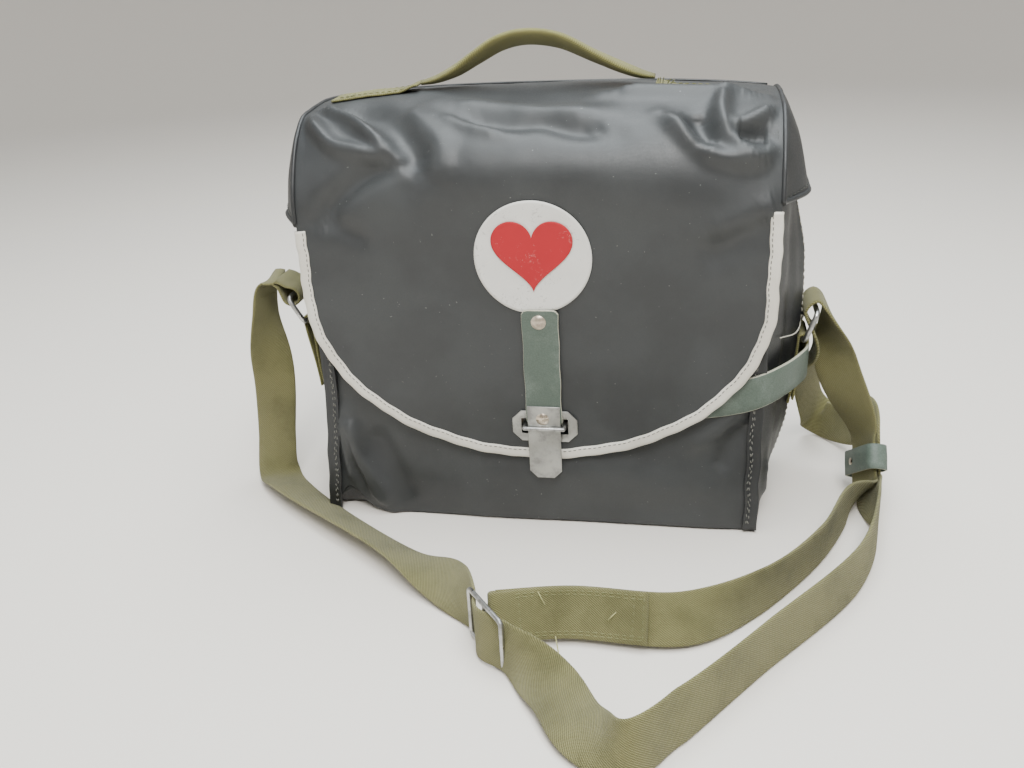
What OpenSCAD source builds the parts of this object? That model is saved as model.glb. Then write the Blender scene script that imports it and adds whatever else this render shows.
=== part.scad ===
// First aid shoulder bag in vinyl with a full front flap, webbing shoulder strap and packed contents.
// Millimetres. The origin is the middle of the bag's base on the floor, +Z is up, the flap faces -Y.

/* [Bag] */
// Width of the bag between its corner seams
bag_w = 336; // [320:2:340]
// Depth of the bag from front panel to back panel
bag_d = 130; // [126:1:132]
// Height of the front panel and gussets
mouth_h = 270; // [240:1:272]
// Thickness of the vinyl
vinyl_t = 2; // [1.4:0.1:2]
// How far each gusset bulges at its middle
gusset_bulge = 26; // [10:1:27]
// Thickness of the stiffening board in the base
board_t = 3; // [2:0.5:3]

/* [Lid] */
// Width of the lid and its flap
lid_w = 344; // [344:1:346]
// Height of the flap's lowest point above the floor
flap_low = 62; // [55:1:66]
// Height at which the flap's sides start to round in
flap_round = 190; // [186:1:194]
// How far the ears flare out at their lower edge
ear_flare = 23; // [22:1:26]
// Depth of the left ear below the top of the lid
left_ear_drop = 70; // [60:1:72]
// Depth of the right ear below the top of the lid
right_ear_drop = 56; // [50:1:72]
// Width of the white binding
binding_w = 7; // [5:0.5:8]
// Diameter of the white emblem disc
emblem_d = 84; // [60:1:88]
// Width of the heart on the disc
heart_w = 58; // [40:1:60]

/* [Closure] */
// Distance of the closing strap from the middle of the bag
strap_x = 7; // [0:1:10]
// Width of the closing strap
closing_w = 27; // [22:0.5:27]
// Width of the metal tongue
tongue_w = 25; // [20:0.5:25]
// Length of the slot in the slot plate
slot_l = 36; // [35.5:0.5:38]
// Height of the slot in the slot plate
slot_h = 13; // [12.5:0.5:13]
// Thickness of the staple's wire
staple_d = 3.2; // [2.6:0.1:3.2]

/* [Shoulder strap] */
// Width of the webbing
web_w = 35; // [30:1:36]
// Thickness of the webbing
web_t = 2.4; // [1.8:0.1:2.4]
// Thickness of the wire of the rings
ring_d = 4; // [3:0.1:4]
// Thickness of the slider's wire
slider_d = 3.4; // [2.8:0.1:3.4]

/* [Contents] */
// Diameter of a bandage roll
roll_d = 51; // [40:1:52]
// Height of a bandage roll
roll_h = 75; // [60:1:78]

/* [Hidden] */
$fn = 48;

vinyl = [0.25, 0.28, 0.28];
piping = [0.88, 0.86, 0.8];
webbing = [0.42, 0.42, 0.22];
leather = [0.3, 0.42, 0.36];
metal = [0.72, 0.72, 0.7];
brass = [0.72, 0.6, 0.48];
gauze = [0.9, 0.88, 0.82];
card = [0.6, 0.52, 0.4];
eps = 0.05;
slip = 0.3;

half_w = bag_w / 2;
half_d = bag_d / 2;
lid_half = lid_w / 2;
front_y = -half_d;
inner_y = half_d - vinyl_t;
floor_z = vinyl_t + board_t;

// Side view of the lid from the rear edge over the top to the middle of the flap, as [y, z]
crown_mid = [
    [62, 325], [45, 328], [12, 329.5], [-15, 327], [-40, 320], [-60, 310],
    [-73, 298], [-80.8, 283], [-82.9, 268], [-81.4, 248], [-79.9, 227], [-78, 200]
];
crown_side = [
    [62, 318], [45, 320], [12, 321], [-15, 319], [-34, 316], [-48, 306],
    [-58, 294], [-66, 279], [-72, 262], [-74, 245], [-74.6, 227], [-75, 200]
];
crown_low = 200;
crown_turn = 5;
back_mid = 322.4;
back_side = 315.5;
flap_mid_y = -73;
flap_slope = 1 / 28;
flap_side_y = -75;
flap_rows = 5;
lid_columns = 24;
ear_top = 316;
ear_front = -34;
ear_tip = -74;
ear_back = 58;

tilt_low = atan(flap_slope);
tilt_disc = atan(0.066);
plate_t = 1.2;
leather_t = 2.2;
strap_back = 1.4;
slot_z = 89.5;
staple_z = 90;
staple_half = 15;
staple_out = 7.1;
root_z = 176;
fold_z = 166.7;
fold_gap = 2;
tongue_z = 97.5;

ring_x = 198.7;
ring_wide = 44;
ring_high = 24;
left_ring_z = 150;
left_ring_lean = 30;
right_ring_z = 142;
right_ring_lean = 20;
eye_r = ring_d / 2 + slip;
chape_w = 34;
chape_low = 88;

handle_y = 12;
handle_w = 25;
handle_t = 3;
tail_t = 1.6;

keeper_mid = [256, -4, 33];
keeper_tip = atan(28 / 34);
keeper_turn = 20;
keeper_long = 20;
sewn_rings = 4;
layer_gap = 3.4;

slider_front = [3, -249];
slider_rear = [-25, -215];
slider_turn = atan2(-34, 28);
slider_mid_z = 20.4;
slider_tall = 37;

// The shoulder strap's route: centre of the band, then the direction of its width
strap_route = [
    [-224, 0, 183, 0, 1, 0], [-234, -2, 181, 0.15, 1, 0.2], [-241, -5, 150, 0.25, 1, 0],
    [-240, -9, 92, 1, 0.3, 0], [-245, -11, 40, 1, 0, 0], [-242, -24, 10, 1, 0.2, 0],
    [-216, -52, 9, 0.7, 0.7, -0.3], [-95, -142, 11, 0.5, 0.8, -0.4], [-52, -176, 14, 0.3, 0.8, 0.5],
    [-23, -212, 19, -0.1, 0.3, 1], [-15, -235, 19, -0.1, 0.3, 1], [6, -248, 19, -0.1, 0.3, 1],
    [38, -274, 14, 0.6, 0.65, 0.45], [60, -306, 13, 0.6, 0.6, 0.5], [86, -323, 18, 0, 0.35, 0.9],
    [114, -294, 18, 0.3, 0.6, 0.7], [165, -228, 18, 0.2, 0.4, 0.8], [236, -132, 19, 0, 0.2, 1],
    [256, -68, 22, 0, 0, 1], [258, -17.5, 17, 0.34, -0.73, 0.6], [258, -3.5, 32.6, 0.34, -0.73, 0.6],
    [258, 10.5, 49.6, 0.34, -0.73, 0.6], [261, 34, 54, 0.1, -0.4, 0.9], [254, 74, 26, 0, 0.2, 1],
    [231, 104, 20, 0.1, 0.1, 1], [212, 64, 84, 0.6, 0.8, 0.2],
    [209, 2, 138, 0, 1, 0], [199.2, 0, 164.6, 0, 1, 0], [206.9, 0, 172.3, 0, 1, 0], [214.6, 0, 164.6, 0, 1, 0],
    [228, 2, 112, -0.85, 0.4, -0.35], [254, 9.5, 50.4, -0.34, 0.73, -0.6],
    [254, -4.5, 33.4, -0.34, 0.73, -0.6], [254, -18.5, 17, -0.34, 0.73, -0.6],
    [236, -54, 20, 0, 0, -1], [211, -109, 19, -0.1, -0.1, -1], [165, -170, 18, -0.3, -0.4, -0.8],
    [116, -204, 18, -0.2, -0.6, -0.8], [40, -206, 18, 0, -0.5, -0.87], [-7, -216, 18, 0.1, -0.45, -0.87]
];
side_route = [
    [85, -67, 106, 0, 0, 1], [140, -68.5, 113, 0, 0, 1], [166, -69.5, 122, 0, 0, 1],
    [182, -60, 127, 0, 0, 1], [195, -40, 128, 0, 0, 1], [202, -18, 126, 0, 0, 1],
    [202, 18, 125, 0, 0, 1], [192, 46, 124, 0, 0, 1], [176, 66, 123, 0, 0, 1],
    [158, 69.5, 122, 0, 0, 1], [120, 67, 121, 0, 0, 1]
];
handle_route = [
    [-91.6, 333.6, 2.5, 0], [-80, 336, 6, 0], [-64, 342, 12.5, 6], [-48, 351, 12.5, 14], [-31, 360, 12.5, 20],
    [-12, 364, 12.5, 22], [13, 361, 12.5, 22], [40, 349, 12.5, 12], [60, 340.5, 11, 4], [74, 335.5, 5.5, 0],
    [83.6, 333.6, 2.5, 0]
];

function unit(v) = v / norm(v);
function point(q) = [q[0], q[1], q[2]];
function mix(a, b, t) = a + (b - a) * t;

// Point at t between knots i and i + 1 of a smooth curve through the knots of r, however unevenly they lie
function spread(a, b) = sqrt(norm(point(b) - point(a)));
function between(a, b, ta, tb, t) = (a * (tb - t) + b * (t - ta)) / (tb - ta);
function curve(r, i, t) =
    let (
        n = len(r) - 1,
        b = r[i],
        c = r[i + 1],
        a = i > 0 ? r[i - 1] : 2 * b - c,
        d = i < n - 1 ? r[i + 2] : 2 * c - b,
        t1 = spread(a, b),
        t2 = t1 + spread(b, c),
        t3 = t2 + spread(c, d),
        u = mix(t1, t2, t),
        ab = between(a, b, 0, t1, u),
        bc = between(b, c, t1, t2, u),
        cd = between(c, d, t2, t3, u)
    )
    between(between(ab, bc, 0, t2, u), between(bc, cd, t1, t3, u), t1, t2, u);
function smooth(r, steps) =
    concat([for (i = [0:len(r) - 2], k = [0:steps - 1]) curve(r, i, k / steps)], [r[len(r) - 1]]);

function heading(q, i) = unit(point(q[min(i + 1, len(q) - 1)]) - point(q[max(i - 1, 0)]));
function across(q, i) =
    let (t = heading(q, i), w = [q[i][3], q[i][4], q[i][5]])
    unit(w - (w * t) * t);

// Flat band cut with eased edges, as multiples of its half width and half thickness
band_cut = [[-1, -0.4], [-0.95, -1], [0.95, -1], [1, -0.4], [1, 0.4], [0.95, 1], [-0.95, 1], [-1, 0.4]];
function band_ring(q, i, hw, ht, lift) =
    let (t = heading(q, i), w = across(q, i), n = cross(t, w))
    [for (s = band_cut) point(q[i]) + s[0] * hw * w + (s[1] * ht + lift) * n];

// Closed solid through rings of points, each ring anticlockwise about the way the rings advance
module skin(rings) {
    n = len(rings[0]);
    last = len(rings) - 1;
    sides = [
        for (i = [0:last - 1], j = [0:n - 1], half = [0, 1])
        let (a = i * n + j, b = i * n + (j + 1) % n, c = a + n, d = b + n)
        half == 0 ? [a, c, d] : [a, d, b]
    ];
    caps = [[for (j = [0:n - 1]) j], [for (j = [n - 1:-1:0]) last * n + j]];
    polyhedron(points = [for (r = rings, p = r) p], faces = concat(sides, caps));
}

// Flat band along q from the given ring on, lifted off q's own surface
module band(q, wide, thick, first = 0, lift = 0) {
    skin([for (i = [first:len(q) - 1]) band_ring(q, i, wide / 2, thick / 2, lift)]);
}

module on_flap() {
    translate([strap_x, flap_mid_y, 60]) rotate([tilt_low, 0, 0]) children();
}

// A plate of the given thickness whose front is at the given depth out from the flap
module flap_plate(low, high, wide, back, thick, easing) {
    translate([0, -back, (low + high) / 2 - 60])
    rotate([90, 0, 0])
    linear_extrude(thick)
    polygon([
        [-wide / 2, easing[0] - (high - low) / 2], [easing[0] - wide / 2, -(high - low) / 2],
        [wide / 2 - easing[0], -(high - low) / 2], [wide / 2, easing[0] - (high - low) / 2],
        [wide / 2, (high - low) / 2 - easing[1]], [wide / 2 - easing[1], (high - low) / 2],
        [easing[1] - wide / 2, (high - low) / 2], [-wide / 2, (high - low) / 2 - easing[1]]
    ]);
}

// Low domed head on a short shank, both along -Y
module rivet(head_r, dome, shank_r, shank_l) {
    rotate([90, 0, 0]) {
        translate([0, 0, -shank_l]) cylinder(r = shank_r, h = shank_l);
        intersection() {
            cylinder(r = head_r, h = dome);
            translate([0, 0, dome - head_r * 1.6]) sphere(r = head_r * 1.6);
        }
    }
}

// Rectangular wire loop in the XY plane, centred
module wire_loop(wide, high, d) {
    for (s = [-1, 1]) {
        translate([0, s * high / 2, 0]) rotate([0, 90, 0]) cylinder(d = d, h = wide, center = true);
        translate([s * wide / 2, 0, 0]) rotate([90, 0, 0]) cylinder(d = d, h = high, center = true);
    }
    for (sx = [-1, 1], sy = [-1, 1]) translate([sx * wide / 2, sy * high / 2, 0]) sphere(d = d);
}

// ---- bag ----

function bulge(z) = gusset_bulge * pow(sin(180 * (z + 5) / 330), 0.8);
function gusset_x(y, z) = half_w + bulge(z) * cos(90 * y / half_d);

module gusset() {
    levels = 10;
    steps = 12;
    skin([
        for (i = [0:levels])
        let (z = mix(vinyl_t, mouth_h, i / levels))
        concat(
            [for (k = [0:steps]) let (y = mix(-inner_y, inner_y, k / steps)) [gusset_x(y, z), y, z]],
            [for (k = [steps:-1:0]) let (y = mix(-inner_y, inner_y, k / steps)) [gusset_x(y, z) - vinyl_t, y, z]]
        )
    ]);
}

module front_panel() {
    color(vinyl) translate([-half_w, front_y, vinyl_t]) cube([bag_w, vinyl_t, mouth_h - vinyl_t]);
}

module back_panel() {
    edge = [for (x = [-half_w:bag_w / 16:half_w]) [x, mix(back_mid, back_side, side_share(x))]];
    color(vinyl) translate([0, half_d, 0]) rotate([90, 0, 0]) linear_extrude(vinyl_t)
        polygon(concat([[half_w, vinyl_t], [-half_w, vinyl_t]], edge));
}

module base_panel() {
    color(vinyl) translate([-half_w, front_y, 0]) cube([bag_w, bag_d, vinyl_t]);
}

module gusset_left() {
    color(vinyl) mirror([1, 0, 0]) gusset();
}

module gusset_right() {
    color(vinyl) gusset();
}

module seam_flanges(y, high) {
    for (s = [-1, 1]) translate([s * (half_w - 6) - 4, y, 3]) cube([8, 2.6, high]);
}

module front_seam_flanges() {
    color(vinyl) seam_flanges(front_y - 2.6, 240);
}

module rear_seam_flanges() {
    color(vinyl) seam_flanges(half_d, mouth_h - 6);
}

module mouth_hem() {
    color(vinyl) translate([-half_w + 10, -inner_y, mouth_h - 18]) cube([bag_w - 20, 1.4, 18]);
}

module base_board() {
    color(card) translate([-160, -inner_y + 2, vinyl_t]) cube([320, 2 * inner_y - 4, board_t]);
}

module divider() {
    color(vinyl) translate([-158, -1.2, floor_z]) cube([316, 2.4, 104]);
}

// ---- closure parts on the bag ----

module staple_plate() {
    color(metal) translate([strap_x - 25, front_y - plate_t, staple_z - 8]) cube([50, plate_t, 16]);
}

module staple_rivets() {
    color(brass) for (s = [-1, 1])
        translate([strap_x + s * 21, front_y - plate_t, staple_z]) rivet(3.2, 1, 1.2, 0.8);
}

module staple() {
    out = front_y - plate_t;
    bar_y = flap_mid_y - (staple_z - 60) * flap_slope - staple_out;
    color(metal) translate([strap_x, 0, staple_z]) {
        for (s = [-1, 1]) {
            translate([s * staple_half, out, 0]) rotate([90, 0, 0]) cylinder(d = staple_d, h = out - bar_y);
            translate([s * staple_half, bar_y, 0]) sphere(d = staple_d);
        }
        translate([0, bar_y, 0]) rotate([0, 90, 0]) cylinder(d = staple_d, h = 2 * staple_half, center = true);
    }
}

// ---- ring fittings and side strap ----

module chape(z) {
    low_x = gusset_x(0, chape_low) + 0.4;
    lean = atan((ring_x - 2.4 - low_x) / (z - chape_low));
    difference() {
        union() {
            translate([ring_x, 0, z]) rotate([90, 0, 0]) cylinder(r = eye_r + 2.2, h = chape_w, center = true);
            translate([low_x, -chape_w / 2, chape_low]) rotate([0, lean, 0]) cube([4.4, chape_w, z - chape_low]);
        }
        translate([ring_x, 0, z]) rotate([90, 0, 0]) cylinder(r = eye_r, h = chape_w + 2, center = true);
    }
}

module chape_left() {
    color(webbing) mirror([1, 0, 0]) chape(left_ring_z);
}

module chape_right() {
    color(webbing) chape(right_ring_z);
}

module ring(z, lean) {
    translate([ring_x, 0, z])
    rotate([0, lean, 0])
    translate([0, 0, ring_high / 2])
    rotate([90, 0, 90])
    wire_loop(ring_wide, ring_high, ring_d);
}

module ring_left() {
    color(metal) mirror([1, 0, 0]) ring(left_ring_z, left_ring_lean);
}

module ring_right() {
    color(metal) ring(right_ring_z, right_ring_lean);
}

module side_strap() {
    color(leather) band(smooth(side_route, 2), 25, leather_t);
}

module side_strap_rivets() {
    color(brass) {
        translate([94, side_route[0][1] - leather_t / 2 - 0.2, 107]) rivet(4, 1.4, 1.5, 0.1);
        translate([128, 66.5 + leather_t / 2 + 0.2, 121.3]) mirror([0, 1, 0]) rivet(4, 1.4, 1.5, 0.1);
    }
}

// ---- contents ----

module bandage_rolls() {
    color(gauze) for (k = [-2.5:1:2.5]) translate([k * 53, -32, floor_z]) cylinder(d = roll_d, h = roll_h);
}

module dressing_packs() {
    color(card) for (k = [-1.5:1:1.5])
        translate([k * 78 - 37, -58, floor_z + 80]) cube([74, 52, 28]);
}

module triangular_bandages() {
    color(gauze) for (k = [-1, 0, 1])
        translate([k * 100 - 47, 5, floor_z]) cube([94, 52, 108]);
}

module tape_spool() {
    color(metal) translate([100, 32, floor_z + 109]) {
        cylinder(d = 30, h = 34);
        for (z = [0, 32.5]) translate([0, 0, z]) cylinder(d = 54, h = 1.5);
    }
}

module adhesive_tape() {
    color(gauze) translate([100, 32, floor_z + 109 + 1.7]) difference() {
        cylinder(d = 50, h = 30.6);
        translate([0, 0, -1]) cylinder(d = 30.4, h = 34);
    }
}

scissors_mid = [-70, 0, floor_z + 110];
module scissors_half(low) {
    difference() {
        union() {
            translate([0, 0, low]) linear_extrude(2) polygon([[-7, 5], [12, 6], [72, 0.5], [72, -0.5], [12, -5], [-7, -5]]);
            translate([-58, -14, low]) difference() {
                cylinder(d = 34, h = 2);
                translate([0, 0, -1]) cylinder(d = 24, h = 4);
            }
            translate([0, 0, low]) linear_extrude(2) polygon([[-4, 5], [-4, -5], [-42, -12], [-44, -5]]);
        }
        translate([0, 0, low - 1]) cylinder(d = 5, h = 4);
    }
}

module scissors_lower_half() {
    color(metal) translate(scissors_mid) scissors_half(0);
}

module scissors_upper_half() {
    color(metal) translate(scissors_mid) mirror([0, 1, 0]) scissors_half(2.3);
}

module scissors_screw() {
    color(metal) translate(scissors_mid) {
        cylinder(d = 4.9, h = 4.6);
        translate([0, 0, 4.6]) cylinder(d = 8, h = 1.4);
    }
}

// ---- lid ----

function side_share(x) = pow(abs(x) / lid_half, 3);
function flap_edge_z(x) = flap_round - (flap_round - flap_low) * sqrt(1 - pow(min(abs(x) / lid_half, 0.9985), 2));
function flap_y(x, z) = mix(flap_mid_y - (z - 60) * flap_slope, flap_side_y, side_share(x));
function lid_line(x) =
    concat(
        [for (k = [0:len(crown_mid) - 1]) mix(crown_mid[k], crown_side[k], side_share(x))],
        [for (k = [1:flap_rows]) let (z = mix(crown_low, flap_edge_z(x), k / flap_rows)) [flap_y(x, z), z]]
    );
function inward(line, k) =
    let (d = unit(line[min(k + 1, len(line) - 1)] - line[max(k - 1, 0)]))
    [-d[1], d[0]];
function lid_ring(x, first, last) =
    let (line = lid_line(x))
    concat(
        [for (k = [first:last]) [x, line[k][0], line[k][1]]],
        [for (k = [last:-1:first]) let (p = line[k] + vinyl_t * inward(line, k)) [x, p[0], p[1]]]
    );
// Columns crowd towards the sides, where the flap's edge is steepest
function column_x(k) = lid_half * sin(90 * (2 * k / lid_columns - 1));

module lid_part(first, last) {
    skin([for (k = [0:lid_columns]) lid_ring(column_x(k), first, last)]);
}

module lid_top() {
    color(vinyl) lid_part(0, crown_turn);
}

module lid_front() {
    color(vinyl) difference() {
        lid_part(crown_turn, len(crown_mid) + flap_rows - 1);
        on_flap() translate([-slot_l / 2 - 1, -3, slot_z - 60 - slot_h / 2 - 2]) cube([slot_l + 2, 8, slot_h + 3]);
    }
}

function ear_point(s, t, drop) =
    let (
        front = [mix(ear_front, ear_tip, pow(s, 0.8)), mix(ear_top, ear_top - drop - 2, s)],
        back = [ear_back, mix(ear_top + 1, ear_top - drop, s)],
        yz = mix(front, back, t),
        out = ear_flare * pow(s, 0.6) * sin(90 * min(1, t / 0.35))
    )
    [lid_half + out, yz[0], yz[1]];

module lid_ear(drop) {
    rows = 7;
    steps = 12;
    skin([
        for (i = [0:steps])
        concat(
            [for (k = [0:rows]) ear_point(k / rows, i / steps, drop) + [vinyl_t, 0, 0]],
            [for (k = [rows:-1:0]) ear_point(k / rows, i / steps, drop)]
        )
    ]);
}

module lid_ear_left() {
    color(vinyl) mirror([1, 0, 0]) lid_ear(left_ear_drop);
}

module lid_ear_right() {
    color(vinyl) lid_ear(right_ear_drop);
}

edge_steps = 28;
function edge_top(u) = ear_top - (u < 0 ? left_ear_drop : right_ear_drop) - 4;
function edge_at(u) =
    abs(u) >= 90
    ? [sign(u) * lid_half, mix(flap_round, edge_top(u), (abs(u) - 90) / 30)]
    : [lid_half * sin(u), flap_round - (flap_round - flap_low) * cos(u)];
binding_cut = [
    [1.5, -vinyl_t / 2 - 1.2], [1.5, vinyl_t / 2 + 1.2], [-binding_w, vinyl_t / 2 + 1.2], [-binding_w, vinyl_t / 2 + 0.3],
    [0.3, vinyl_t / 2 + 0.3], [0.3, -vinyl_t / 2 - 0.3], [-binding_w, -vinyl_t / 2 - 0.3], [-binding_w, -vinyl_t / 2 - 1.2]
];
function binding_ring(u) =
    let (
        p = edge_at(u),
        d = unit(edge_at(u + 0.5) - edge_at(u - 0.5)),
        o = [d[1], -d[0]],
        y = flap_y(p[0], p[1]) + vinyl_t / 2
    )
    [for (s = binding_cut) [p[0] + s[0] * o[0], y + s[1], p[1] + s[0] * o[1]]];

module flap_binding() {
    color(piping) skin([for (k = [0:edge_steps]) binding_ring(mix(-119, 119, k / edge_steps))]);
}

module on_disc() {
    translate([3.5, -80.3, 224]) rotate([90 + tilt_disc, 0, 0]) children();
}

module emblem_disc() {
    color(piping) on_disc() translate([0, 0, 0.15]) cylinder(d = emblem_d, h = 0.6);
}

module emblem_heart() {
    k = heart_w / 32;
    color("firebrick") on_disc() translate([0, 3 * k, 0.8]) linear_extrude(0.5) polygon([
        for (a = [0:8:352])
        k * [16 * pow(sin(a), 3), 13 * cos(a) - 5 * cos(2 * a) - 2 * cos(3 * a) - cos(4 * a)]
    ]);
}

function tail_point(x) =
    [x, handle_y, mix(crown_mid[2][1], crown_side[2][1], side_share(x)) + 0.2 + tail_t / 2, 0, 1, 0];

module handle_tail(from, to) {
    color(webbing) band([for (k = [0:6]) tail_point(mix(from, to, k / 6))], handle_w, tail_t);
}

module handle_tail_left() {
    handle_tail(-160, -92);
}

module handle_tail_right() {
    handle_tail(84, 140);
}

function handle_ring(q, i) =
    let (
        a = q[max(i - 1, 0)],
        b = q[min(i + 1, len(q) - 1)],
        t = unit([b[0] - a[0], 0, b[1] - a[1]]),
        up = cross(t, [0, 1, 0]),
        w = cos(q[i][3]) * [0, 1, 0] - sin(q[i][3]) * up,
        n = cross(t, w)
    )
    [for (s = band_cut) [q[i][0], handle_y, q[i][1]] + s[0] * q[i][2] * w + s[1] * handle_t / 2 * n];

module handle_web() {
    q = smooth(handle_route, 2);
    color(webbing) skin([for (i = [0:len(q) - 1]) handle_ring(q, i)]);
}

// ---- closure parts on the flap ----

module slot_plate() {
    color(metal) on_flap() difference() {
        flap_plate(slot_z - 13, slot_z + 13, 50, 0.1, plate_t, [7, 7]);
        translate([-slot_l / 2, -3, slot_z - 60 - slot_h / 2]) cube([slot_l, 4, slot_h]);
    }
}

module closing_strap_root() {
    color(leather) on_flap() flap_plate(fold_z + fold_gap, root_z + 9, closing_w, strap_back, leather_t, [0, 4]);
}

module strap_rivet() {
    color(brass) on_flap() translate([-1, -strap_back - leather_t - eps, root_z - 60]) rivet(5.5, 2, 1.8, 0.01);
}

module closing_strap() {
    color(leather) on_flap() flap_plate(93, fold_z - fold_gap, closing_w, strap_back, leather_t, [0, 0]);
}

module closing_tongue() {
    color(metal) on_flap()
        flap_plate(46, 108, tongue_w, strap_back + leather_t + 0.1, plate_t, [6, 0]);
}

module tongue_rivet() {
    color(brass) on_flap()
        translate([-1, -strap_back - leather_t - 0.1 - plate_t - eps, tongue_z - 60]) rivet(5, 1.8, 1.8, 0.01);
}

// ---- shoulder strap ----

module shoulder_strap() {
    color(webbing) band(smooth(strap_route, 2), web_w, web_t);
}

module strap_end_loop() {
    bar = [-(ring_x + ring_high * sin(left_ring_lean)), left_ring_z + ring_high * cos(left_ring_lean)];
    color(webbing) translate([bar[0], web_w / 2, bar[1]]) rotate([90, 0, 0]) linear_extrude(web_w) difference() {
        hull() {
            circle(r = 8.6);
            translate([-11.4, 10.4]) circle(r = 1.4);
        }
        hull() {
            circle(r = 6.3);
            translate([-9.4, 8.6]) circle(r = 0.4);
        }
    }
}

module strap_sewn_end() {
    q = smooth(strap_route, 2);
    color(webbing) band(q, web_w - 1, web_t - 0.2, len(q) - 1 - sewn_rings, web_t + 0.1);
}

module strap_slider() {
    mid = (slider_front + slider_rear) / 2;
    long = norm(slider_front - slider_rear);
    color(metal) translate([mid[0], mid[1], slider_mid_z]) rotate([90, 0, slider_turn]) {
        wire_loop(long, slider_tall, slider_d);
        rotate([90, 0, 0]) cylinder(d = slider_d, h = slider_tall, center = true);
    }
}

module in_keeper() {
    translate(keeper_mid) rotate([-keeper_tip, 0, 0]) rotate([0, 0, keeper_turn]) children();
}

module strap_keeper() {
    across_gap = 2 * (layer_gap + web_t / 2 + 1.2);
    along_gap = web_w + 6.4;
    color(leather) in_keeper() translate([0, 0, -keeper_long / 2]) linear_extrude(keeper_long) difference() {
        square([across_gap + 4, along_gap + 4], center = true);
        square([across_gap, along_gap], center = true);
    }
}

module keeper_rivet() {
    side = layer_gap + web_t / 2 + 1.2 + 2 + eps;
    color(brass) in_keeper() translate([-side, 8, 0]) rotate([0, 0, -90]) rivet(4, 1.5, 1.4, 0.01);
}

front_panel();
back_panel();
base_panel();
gusset_left();
gusset_right();
front_seam_flanges();
rear_seam_flanges();
mouth_hem();
base_board();
divider();
staple_plate();
staple_rivets();
staple();
chape_left();
chape_right();
side_strap();
side_strap_rivets();
bandage_rolls();
dressing_packs();
triangular_bandages();
tape_spool();
adhesive_tape();
scissors_lower_half();
scissors_screw();
scissors_upper_half();
lid_top();
lid_front();
lid_ear_left();
lid_ear_right();
flap_binding();
emblem_disc();
emblem_heart();
handle_tail_left();
handle_tail_right();
handle_web();
slot_plate();
closing_strap_root();
strap_rivet();
closing_strap();
closing_tongue();
tongue_rivet();
ring_left();
ring_right();
shoulder_strap();
strap_end_loop();
strap_sewn_end();
strap_slider();
strap_keeper();
keeper_rivet();
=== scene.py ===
import math

import bmesh
import bpy
import numpy as np
from mathutils import Matrix, Vector, noise


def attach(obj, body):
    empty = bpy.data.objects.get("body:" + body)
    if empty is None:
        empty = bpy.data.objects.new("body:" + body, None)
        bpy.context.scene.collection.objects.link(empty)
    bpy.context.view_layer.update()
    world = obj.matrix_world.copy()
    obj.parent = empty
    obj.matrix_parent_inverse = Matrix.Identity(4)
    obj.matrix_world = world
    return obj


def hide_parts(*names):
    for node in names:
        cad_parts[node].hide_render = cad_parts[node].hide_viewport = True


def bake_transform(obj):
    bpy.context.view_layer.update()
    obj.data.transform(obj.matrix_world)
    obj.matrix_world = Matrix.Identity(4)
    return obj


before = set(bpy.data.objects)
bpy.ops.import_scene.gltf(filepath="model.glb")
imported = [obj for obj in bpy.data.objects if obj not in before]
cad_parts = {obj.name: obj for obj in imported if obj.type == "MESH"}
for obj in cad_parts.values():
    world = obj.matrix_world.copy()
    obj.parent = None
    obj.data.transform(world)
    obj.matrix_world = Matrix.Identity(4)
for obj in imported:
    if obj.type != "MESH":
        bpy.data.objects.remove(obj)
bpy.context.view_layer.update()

MM = 0.001
LID_HALF = 172.0
BODY_HALF = 168.0
BODY_DEEP = 65.0
BASE_Z = 1.5
scene = bpy.context.scene
rng = np.random.default_rng(11)


# ---- camera ----

CAMERA_AT = (0.1147, -0.7275, 0.4204)


def aim(yaw, pitch, roll):
    """Camera axes for a heading turned from +Y, a downward pitch and a roll, in degrees."""
    y, p, r = (math.radians(a) for a in (yaw, pitch, roll))
    ahead = Vector((-math.sin(y) * math.cos(p), math.cos(y) * math.cos(p), -math.sin(p)))
    right = Vector((math.cos(y), math.sin(y), 0))
    up = right.cross(ahead)
    return math.cos(r) * right + math.sin(r) * up, math.cos(r) * up - math.sin(r) * right, ahead


right, up, ahead = aim(yaw=11.4, pitch=24.0, roll=-3.0)
cam = bpy.data.objects.new("camera", bpy.data.cameras.new("camera"))
cam.data.sensor_width = 36
cam.data.lens = 34.0
cam.matrix_world = Matrix.Translation(CAMERA_AT) @ Matrix((right, up, -ahead)).transposed().to_4x4()
scene.collection.objects.link(cam)
scene.camera = cam


# ---- curves and meshes ----

def unit(v):
    return v / np.linalg.norm(v, axis=-1, keepdims=True)


def join(*parts):
    """Coordinates, or numbers that all points share, put together as points."""
    return np.stack(np.broadcast_arrays(*parts), axis=-1)


def wide(p, across):
    """Points of a band together with the direction of its width."""
    return np.c_[p, np.broadcast_to(across, p.shape)]


def lengths(p):
    """Distance along a line to each of its points."""
    return np.r_[0, np.cumsum(np.linalg.norm(np.diff(p, axis=0), axis=1))]


def at_lengths(s, along, p):
    """Points at the distances s along a line."""
    return join(*(np.interp(s, along, p[:, k]) for k in range(3)))


def knot_gap(a, b):
    return math.sqrt(np.linalg.norm(b[:3] - a[:3]))


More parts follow.
